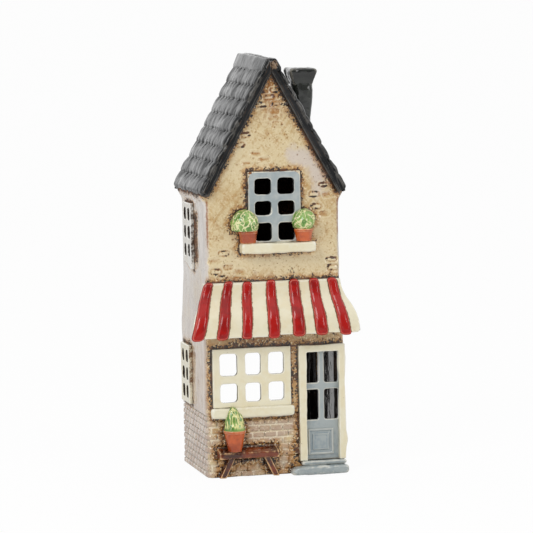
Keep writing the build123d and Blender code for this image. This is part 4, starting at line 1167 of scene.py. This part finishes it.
def ridge_cap():
    """A smooth saddle over the ridge, a little higher at the back."""
    low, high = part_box("ridge_cap")
    lean = math.cos(ROOF_PITCH), math.sin(ROOF_PITCH)
    apex = EAVE_TIP_Z + EAVE_TIP_X * math.tan(ROOF_PITCH)
    half = ROOF_DEPTH / 2

    def saddle(name, lift, half_deep):
        piece = block(name, (low.x - SLAB, -half_deep, low.z - 20 * MM),
                      (high.x + SLAB, half_deep, high.z + 40 * MM))
        for side in (-1, 1):
            slice_through(piece, (0, 0, apex + lift), (side * lean[1], 0, lean[0]), drop=True)
        return piece

    def crest(edge):
        ends = [piece.data.vertices[v].co for v in edge.vertices]
        return all(abs(end.x) < 0.1 * MM and end.z > apex + CAP_THICK for end in ends)

    piece = saddle("ridge_cap_glazed", CAP_THICK / lean[0], half + 0.4 * MM)
    carve(piece, saddle("ridge_hollow", 0, ROOF_DEPTH))
    run = RIDGE_RUN * lean[0] + 2 * MM
    for side in (-1, 1):
        slice_through(piece, (side * run, 0, 0), (side, 0, 0), drop=True)
    round_edges(piece, CAP_ROUND, crest, 8)
    slice_through(piece, (0, 0, high.z + 0.3 * MM), (0, 0, 1), drop=True)
    soften(piece, MID_GRAIN, rounds=24, hand=0.9 * MM)
    lift = points_of(piece)[0]
    lift[:, 2] += CAP_RISE * ease(lift[:, 1], -half, half) * ease(lift[:, 2], high.z - 7 * MM, high.z)
    move_points(piece, lift)
    mark_edges(piece, MID_GRAIN)
    mark_bare_tip(piece)
    set_down(piece, ROOF)


def taper(piece, share):
    """Draws in the lower half of a block to a share of its width."""
    points, _ = points_of(piece)
    middle = (points.min(axis=0) + points.max(axis=0)) / 2
    low = points[:, 2] < middle[2]
    points[low, :2] = middle[:2] + (points[low, :2] - middle[:2]) * share
    move_points(piece, points)


def chimney():
    """A stack with round corners, wider towards its top, and the flared collar round its flue."""
    low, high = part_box("chimney_stack")
    head, middle = high.x - low.x, (low + high) / 2
    bore = lambda: block("flue", (middle.x - FLUE / 2, middle.y - FLUE / 2, low.z - WALL),
                         (middle.x + FLUE / 2, middle.y + FLUE / 2, high.z + 30 * MM))
    stack = block("chimney_stack_glazed", low, high)
    taper(stack, STACK_FOOT)
    round_edges(stack, CHIMNEY_ROUND, running(stack, 2), 5)
    carve(stack, bore())
    fired(stack, CHIMNEY, MID_GRAIN, rounds=8, hand=2.2 * MM, fine=0.35 * MM)
    low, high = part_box("chimney_collar")
    collar = block("chimney_collar_glazed", low - Vector((0, 0, COLLAR_LET)),
                   high - Vector((0, 0, COLLAR_LIP)))
    taper(collar, (head - COLLAR_STEP) / (high.x - low.x))
    round_edges(collar, CHIMNEY_ROUND, running(collar, 2), 5)
    pick_top(collar)
    draw_out(0, 0, COLLAR_LIP)
    leave_edit()

    def top_rim(edge):
        at = sum((collar.data.vertices[v].co for v in edge.vertices), Vector()) / 2
        return at.z > high.z - 0.1 * MM and max(abs(at.x - (low.x + high.x) / 2), abs(at.y)) > FLUE

    round_edges(collar, COLLAR_ROUND, top_rim)
    carve(collar, bore())
    fired(collar, CHIMNEY, MID_GRAIN, rounds=20, hand=2.2 * MM, fine=0.35 * MM)


def tealight():
    """Foil cup, wax with a shallow dip round the wick, the wick and its tab."""
    low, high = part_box("tealight_cup")
    radius, middle = (high.x - low.x) / 2, (low + high) / 2
    neck = radius - CUP_ROLL
    cup = drum("tealight_cup_pressed", (middle.x, middle.y, low.z), high.z, radius - CUP_FOOT_IN, neck, 96)
    pick_top(cup)
    draw_out(0, 0, 0)
    bpy.ops.transform.resize(value=(radius / neck, radius / neck, 1))
    bpy.ops.mesh.inset(thickness=CUP_LIP)
    draw_out(0, 0, -(high.z - low.z) + CUP_FLOOR)
    leave_edit()
    at_foot = lambda edge: all(cup.data.vertices[v].co.z < low.z + 0.1 * MM for v in edge.vertices)
    round_edges(cup, CUP_FOOT_ROUND, at_foot, 3)
    smooth_by(cup, 40)
    set_down(cup, cup_foil(), "tealight")
    low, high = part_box("tealight_wax")
    radius = (high.x - low.x) / 2
    wax = drum("tealight_wax_poured", (middle.x, middle.y, low.z), high.z, radius, radius, 96)
    pick_top(wax)
    for rings in WAX_RINGS:
        for ring in rings:
            bpy.ops.mesh.inset(thickness=ring)
        bpy.ops.transform.translate(value=(0, 0, -WAX_DIP))
    leave_edit()
    smooth_by(wax, 40)
    set_down(wax, candle_wax(), "tealight")
    low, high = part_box("tealight_wick")
    radius, tall = (high.x - low.x) / 2, high.z - low.z
    wick = drum("tealight_wick_braided", (middle.x, middle.y, low.z), high.z, radius, radius, 16)
    for share in (0.2, 0.4, 0.6, 0.7, 0.8, 0.9):
        slice_through(wick, (0, 0, low.z + tall * share), (0, 0, 1))
    points, _ = points_of(wick)
    points[:, 0] += WICK_BEND * ease(np.clip((points[:, 2] - low.z) / tall, 0, 1), 0.7, 1.0)
    move_points(wick, points)
    finish_with(wick, "REMESH", mode="VOXEL", voxel_size=WICK_GRAIN)
    push(wick, cloud_texture("braid", BRAID), strength=BRAID / 2)
    only(wick)
    bpy.ops.object.shade_smooth()
    set_down(wick, wick_cotton(), "tealight")
    reglaze("tealight_wick_tab", tab_tin())


def storey_block(name, lower_half, upper_half, low_y, high_y, low_z, high_z):
    """As wide as the shop below the awning, set in above it."""
    piece = block(name, (-lower_half, low_y, low_z), (lower_half, high_y, high_z))
    for z in (AWNING_Z, AWNING_TOP):
        slice_through(piece, (0, 0, z), (0, 0, 1))
    for vertex in piece.data.vertices:
        if vertex.co.z > AWNING_TOP - 0.1 * MM:
            vertex.co.x *= upper_half / lower_half
    return piece


def window_cutters():
    """Blocks that cut the window, door and candle openings."""
    for node, foot in (("shop_window_frame", FRAME_LAP), ("upper_window_frame", 0)):
        low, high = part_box(node)
        yield block("opening", (low.x + FRAME_LAP, FRONT - WALL, low.z + foot),
                    (high.x - FRAME_LAP, FRONT + 2 * WALL, high.z - FRAME_LAP))
    low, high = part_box("door_leaf")
    yield block("opening", (low.x, FRONT - WALL, low.z), (high.x, FRONT + 2 * WALL, high.z))
    for node in SIDE_WINDOWS:
        low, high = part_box(node)
        yield block("opening", (low.x - 2 * WALL, low.y + FRAME_LAP, low.z + FRAME_LAP),
                    (high.x + 2 * WALL, high.y - FRAME_LAP, high.z - FRAME_LAP))
    yield block("opening", (-ARCH_HALF, BACK - 2 * WALL, FLOOR_Z), (ARCH_HALF, BACK + WALL, ARCH_SPRING))
    bpy.ops.object.select_all(action="DESELECT")
    bpy.ops.mesh.primitive_cylinder_add(vertices=96, radius=ARCH_HALF, depth=3 * WALL,
                                        location=(0, BACK - WALL / 2, ARCH_SPRING),
                                        rotation=(math.pi / 2, 0, 0))
    yield settle(bpy.context.object, "opening")


def brick_joints(along, height):
    """1 in the joints between bricks laid in half bond, 0 on their faces."""
    course = np.floor(height / BRICK_COURSE)
    step = (along / BRICK_LONG + 0.5 * (course % 2)) % 1.0
    lift = (height / BRICK_COURSE) % 1.0
    off = np.minimum(np.minimum(step, 1 - step) * BRICK_LONG, np.minimum(lift, 1 - lift) * BRICK_COURSE)
    return ease(-off, -JOINT_WIDE, 0)


def stamped_bricks(points):
    """Sunk fields, raised rims and dark stains of single bricks stamped into the front."""
    sunk, rim, stain = (np.zeros(len(points)) for _ in range(3))
    on_front = points[:, 1] < FRONT + 2 * MM
    rng = random.Random(3)
    for x, z, dark in STAMPED_BRICKS:
        tilt = math.radians(rng.uniform(-6, 6))
        dx, dz = points[:, 0] - x * MM, points[:, 2] - z * MM
        run, rise = dx * math.cos(tilt) + dz * math.sin(tilt), dz * math.cos(tilt) - dx * math.sin(tilt)
        long, tall = BRICK_LONG * rng.uniform(0.36, 0.5), BRICK_COURSE * rng.uniform(0.28, 0.38)
        off = np.hypot(np.maximum(np.abs(run) - long + STAMP_CORNER, 0),
                       np.maximum(np.abs(rise) - tall + STAMP_CORNER, 0)) - STAMP_CORNER
        field = ease(-off, -0.3 * MM, 0.9 * MM)
        line = np.exp(-((off - 0.1 * MM) / (0.8 * MM)) ** 2)
        lip = np.exp(-((off - 1.2 * MM) / (0.8 * MM)) ** 2)
        pits = np.zeros(len(points))
        for _ in range(2 + round(2.5 * dark)):
            end = rng.random() < 0.3
            at_run = rng.choice((-0.9, 0.9)) * long if end else rng.uniform(-0.8, 0.8) * long
            at_rise = rng.uniform(-0.5, 0.5) * tall if end else rng.choice((-1, 1)) * tall
            wide, high = rng.uniform(1.0, 1.4) if end else rng.uniform(1.2, 2.4), rng.uniform(0.65, 1.0)
            pit = np.exp(-((run - at_run) / (wide * MM)) ** 2 - ((rise - at_rise) / (high * MM)) ** 2)
            pits = np.maximum(pits, pit)
        hollow = np.maximum(line * 0.7, pits) * min(1, dark * 1.5)
        sunk = np.maximum(sunk, np.maximum(hollow, field * (1 - dark) * 0.9))
        rim = np.maximum(rim, np.maximum(field * dark, 0.7 * lip))
        stain = np.maximum(stain, dark * np.maximum(line * 0.42, pits))
    return sunk * on_front, rim * on_front * (1 - sunk), stain * on_front


def near(tree, points, reach):
    """1 touching the tree's points, 0 at reach from them."""
    away = np.array([tree.find(point)[2] for point in points])
    return np.clip(1 - away / reach, 0, 1)


def tree_of(pieces):
    """A look-up of the points of some pieces."""
    rows = np.concatenate([points_of(piece)[0] for piece in pieces])
    tree = kdtree.KDTree(len(rows))
    for index, row in enumerate(rows):
        tree.insert(row, index)
    tree.balance()
    return tree


def raise_shell():
    """The whole shell in one go: corners rounded, gable cut, hollowed, its openings cut, softened."""
    shell = storey_block("shell", LOWER_HALF, UPPER_HALF, FRONT, BACK, 0, GABLE_Z)
    ends = lambda edge: [shell.data.vertices[v].co.z for v in edge.vertices]
    round_edges(shell, CORNER_ROUND, lambda edge: max(ends(edge)) - min(ends(edge)) > 1 * MM, 6)
    for side in (-1, 1):
        slope = (side * math.sin(ROOF_PITCH), 0, math.cos(ROOF_PITCH))
        slice_through(shell, (0, 0, GABLE_Z), slope, drop=True)
    carve(shell, storey_block("chamber", LOWER_HALF - WALL, UPPER_HALF - WALL, FRONT + WALL, BACK - WALL,
                              -WALL, GABLE_Z + WALL))
    for cutter in window_cutters():
        carve(shell, cutter)
    return soften(shell, SLAB_GRAIN, rounds=2, hand=0.7 * MM, fine=0.25 * MM)


def press_bricks(shell, points, normals, half, outer):
    """Brick joints round the plinth, bricks stamped into the front, and walls that swell under the eaves."""
    x, y, z = points.T
    along = np.where(np.abs(normals[:, 1]) > np.abs(normals[:, 0]), x, y)
    plinth = ease(-z, -BRICK_TOP, -BRICK_TOP + 1 * MM) * outer
    joint = np.maximum(brick_joints(along, z) * plinth, np.exp(-((z - BRICK_TOP) / (0.6 * MM)) ** 2) * outer)
    swell = ease(z, EAVE_Z - 10 * MM, EAVE_Z - 0.5 * MM) * ease(-z, -EAVE_Z - 4 * MM, -EAVE_Z)
    points[:, 0] += np.sign(x) * EAVE_SWELL * swell ** 1.5 * ease(np.abs(x), half - 5 * MM, half)
    sunk, rim, stain = stamped_bricks(points)
    points -= normals * (joint * JOINT_DEEP + sunk * STAMP_DEEP - rim * STAMP_RIM)[:, None]
    points[:, 2] = np.maximum(points[:, 2], 0)
    move_points(shell, points)
    for name, values in (("joint", joint), ("stamp", stain), ("sunk", sunk), ("rim", rim), ("brick", plinth)):
        mark(shell, name, values)


def stain_shell(shell, points, normals, half, outer):
    """Where the plaster's glaze is lilac, amber, light, dripping or sooty, and where it gathered."""
    x, y, z = points.T

    def stains(rows):
        return sum(strength * np.exp(-((x / MM - x0) / wide) ** 2 - ((z / MM - z0) / tall) ** 2)
                   for strength, x0, z0, wide, tall in rows)

    front = ease(-y, -FRONT - 3 * MM, -FRONT - 1 * MM)
    beside, behind = (np.abs(x) - half + 1 * MM) / (1.3 * MM), (y - FRONT - 1 * MM) / (1.6 * MM)
    corner = np.exp(-(beside ** 2 + behind ** 2))
    mark(shell, "inside", 1 - outer)
    mark(shell, "lilac", stains(LILAC_STAINS))
    mark(shell, "amber", front * stains(AMBER_STAINS) + 0.95 * corner * ease(z, 140 * MM, 165 * MM))
    mark(shell, "light", front * stains(LIGHT_STAINS))
    mark(shell, "drip", front * stains(DRIP_STAINS))
    mark(shell, "soot", front * stains(SOOT_STAINS) * outer)
    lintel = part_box("shop_window_frame")[1].z
    soffit = ease(z, lintel - 1 * MM, lintel + 2 * MM) * ease(-z, -AWNING_Z - 8 * MM, -AWNING_Z - 2 * MM)
    gathered = near(tree_of([p for p in MADE.values() if "tealight" not in p.name]), points, 6 * MM)
    gathered = np.maximum(gathered, 0.27 * front * soffit)
    for node in SIDE_WINDOWS:
        low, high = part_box(node)
        beside = ease(y, low.y - 17 * MM, low.y - 7 * MM) * ease(-y, -low.y - 3 * MM, -low.y)
        upright = ease(z, low.z - 6 * MM, low.z + 4 * MM) * ease(-z, -high.z - 1 * MM, -high.z + 8 * MM)
        beside *= (np.sign(x) == np.sign(low.x)) * upright * ease(np.abs(normals[:, 0]), 0.5, 0.8)
        gathered = np.maximum(gathered, (0.9 if "upper" in node else 0.42) * beside)
    mark(shell, "pool", gathered)


def mark_contacts(shell):
    """Dark glaze on the applied pieces where they meet the wall."""
    tree = tree_of([shell])
    for piece in MADE.values():
        if any(word in piece.name for word in ("roof", "tealight", "chimney", "ridge", "stripe")):
            continue
        points, normals = points_of(piece)
        z = points[:, 2]
        touching = near(tree, points, 1.1 * MM)
        if piece.name.startswith(SIDE_WINDOWS):
            above = ease(z, z.min() + 4 * MM, z.min() + 18 * MM)
            touching = np.maximum(touching, (0.45 + 0.25 * above) * ease(-normals[:, 1], 0.4, 0.8))
        if piece.name.startswith("awning_slab"):
            touching = np.maximum(touching, ease(-z, -AWNING_Z - 3 * MM, -AWNING_Z - 1 * MM))
        mark(piece, "pool", touching)


def walls():
    """The shell is shaped in one go, marked for its glaze, then cut into its four walls."""
    shell = raise_shell()
    points, normals = points_of(shell)
    x, y, z = points.T
    half = np.interp(z, [AWNING_Z, AWNING_TOP], [LOWER_HALF, UPPER_HALF])
    depth = np.minimum(np.minimum(half - np.abs(x), y - FRONT), BACK - y)
    outer = 1 - ease(depth, 1.5 * MM, 3.5 * MM)
    press_bricks(shell, points, normals, half, outer)
    stain_shell(shell, points, normals, half, outer)
    mark_contacts(shell)
    front_y, back_y = FRONT + WALL + WALL_SEAM, BACK - WALL - WALL_SEAM
    between = [((0, front_y, 0), (0, -1, 0)), ((0, back_y, 0), (0, 1, 0))]
    cuts = {"front_wall": [((0, front_y, 0), (0, 1, 0))], "back_wall": [((0, back_y, 0), (0, -1, 0))],
            "left_wall": between + [((0, 0, 0), (1, 0, 0))],
            "right_wall": between + [((0, 0, 0), (-1, 0, 0))]}
    for node, planes in cuts.items():
        piece = copy_of(shell, node + "_glazed")
        for point, normal in planes:
            slice_through(piece, point, normal, drop=True)
        smooth_by(piece, 60)
        set_down(piece, WALLS)
    bpy.data.objects.remove(shell)
    reglaze("floor_slab", INSIDE)


def stage():
    """White floor that keeps the shadow, white surroundings, soft lamps."""
    bpy.ops.object.select_all(action="DESELECT")
    bpy.ops.mesh.primitive_plane_add(size=60, location=(0, 0, 0))
    floor = settle(bpy.context.object, "floor")
    material = bpy.data.materials.new("white_paper")
    material.use_nodes = True
    paper = Nodes(material.node_tree)
    seen = paper.node("ShaderNodeLightPath", {}, {}, "Is Camera Ray")
    matt = paper.node("ShaderNodeBsdfDiffuse", {}, {"Color": (0.9, 0.9, 0.9, 1)})
    bright = paper.node("ShaderNodeEmission", {}, {"Color": (1, 1, 1, 1), "Strength": 1.0})
    both = paper.node("ShaderNodeMixShader", {}, {0: seen * 0.95, 1: matt, 2: bright})
    paper.node("ShaderNodeOutputMaterial", {}, {"Surface": both})
    floor.data.materials.append(material)

    world = bpy.data.worlds.new("tent")
    world.use_nodes = True
    bpy.context.scene.world = world
    tent = Nodes(world.node_tree)
    path = lambda output: tent.node("ShaderNodeLightPath", {}, {}, output)
    seen = path("Is Camera Ray").most(path("Is Transmission Ray"))
    way = tent.node("ShaderNodeTexCoord", {}, {}, "Generated")
    east, north, high = (tent.node("ShaderNodeSeparateXYZ", {}, {0: way}, axis) for axis in range(3))
    behind = tent.ease(north, -0.5, 0.6, 0.3, 1.0)
    above = tent.ease(high, 0.4, 0.8, 0.3, 1.3)
    turn = east.maths("ARCTAN2", east, 0 - north)
    left_strip = tent.ease(abs(turn + 1.0), 0.32, 0.06, 0.0, 3.0)
    strips = left_strip.most(tent.ease(abs(turn - 0.95), 0.2, 0.03, 0.0, 2.4))
    strips = strips * tent.ease(high, -0.3, -0.1) * tent.ease(high, 0.85, 0.7)
    light = 0.66 + path("Is Glossy Ray") * (behind.most(above).most(strips) - 0.66)
    sky = tent.node("ShaderNodeBackground", {}, {"Color": (1, 1, 1, 1), "Strength": light.most(seen)})
    tent.node("ShaderNodeOutputWorld", {}, {"Surface": sky})

    for name, (place, size, power) in LAMPS.items():
        lamp = bpy.data.lights.new(name, "AREA")
        lamp.size, lamp.energy = size, power
        holder = bpy.data.objects.new(name, lamp)
        bpy.context.scene.collection.objects.link(holder)
        holder.location = place
        aim = Vector((0, 0, AIM_HEIGHT)) - Vector(place)
        holder.rotation_euler = aim.to_track_quat("-Z", "Y").to_euler()


def camera():
    """The photograph's view."""
    lens = bpy.data.cameras.new("camera")
    lens.lens, lens.sensor_width = CAMERA_LENS, CAMERA_SENSOR
    lens.clip_start, lens.clip_end = 0.1, 100
    eye = bpy.data.objects.new("camera", lens)
    bpy.context.scene.collection.objects.link(eye)
    a, e = CAMERA_AZIMUTH, CAMERA_ELEVATION
    back = Vector((math.sin(a) * math.cos(e), -math.cos(a) * math.cos(e), math.sin(e)))
    right = Vector((math.cos(a), math.sin(a), 0))
    up = back.cross(right)
    turn = Matrix((right, up, back)).transposed() @ Matrix.Rotation(CAMERA_ROLL, 3, "Z")
    place = Vector((0, 0, AIM_HEIGHT)) + back * CAMERA_DISTANCE
    place += right * CAMERA_PAN_RIGHT + up * CAMERA_PAN_UP
    eye.matrix_world = Matrix.Translation(place) @ turn.to_4x4()
    bpy.context.scene.camera = eye


bpy.context.scene.view_settings.view_transform = "Standard"
WALLS, ROOF, INSIDE = wall_glaze(), roof_glaze(), chamber_glaze()
LEAVES, CACTUS = leaf_glaze(), cactus_glaze()
CHIMNEY = worn_glaze("chimney_glaze", (38, 42, 37), (9, 11, 9), (132, 128, 118), "roof_glaze", gloss=0.05,
                     mottle=1.0, grain_line=(1, 1, 0.3))
CREAM = worn_glaze("cream_glaze", (229, 222, 195), (222, 208, 168), (239, 236, 222), thin_share=0.6,
                   gloss=0.12, mottle=0.5)
WHITE = worn_glaze("white_glaze", (232, 229, 220), (214, 205, 188), (240, 239, 235), "cream_glaze",
                   thin_share=0.6, contact=(58, 36, 20))
# the red glaze's pale edge tone is thin glaze, and partly a painted highlight
RED = worn_glaze("red_glaze", (170, 20, 15), (118, 8, 7), (220, 116, 96), gloss=0.1, shine=0.24,
                 contact=(96, 42, 28))
BLUE = worn_glaze("blue_grey_glaze", (174, 180, 178), (140, 154, 160), (222, 219, 206))
DOOR_BLUE = worn_glaze("door_glaze", (160, 168, 168), (122, 137, 146), (214, 212, 200), "blue_grey_glaze")
# the pots' pale edge tone is thin glaze, and partly a painted highlight
TERRACOTTA = worn_glaze("terracotta_glaze", (198, 92, 38), (148, 58, 22), (230, 166, 118), thin_share=0.75,
                        gloss=0.08, mottle=0.8)
# the bench's pale tan edges are thin glaze, and partly a painted highlight
BENCH = worn_glaze("bench_glaze", (126, 56, 24), (50, 21, 12), (218, 174, 122), thin_share=0.9, gloss=0.12,
                   mottle=0.9, contact=(36, 20, 13), grain_line=(0.15, 1, 1))

camera()
stage()
for node in ("shop_window_sill", "upper_window_sill"):
    ledge(node, CREAM, worn=1.6 * MM, rounds=8, hand=1.3 * MM)
front_windows()
side_windows()
door()
bench()
for node, narrow in (("left_sill_pot", 0.8), ("right_sill_pot", 0.8), ("bench_pot", 0.62)):
    pot(node, narrow)
bush("left_sill_bush")
bush("right_sill_bush")
cactus()
awning()
for side, word in ((-1, "left"), (1, "right")):
    roof_slab(side, f"{word}_roof_slab")
    roof_tiles(side, f"{word}_roof_tiles")
ridge_cap()
chimney()
tealight()
walls()
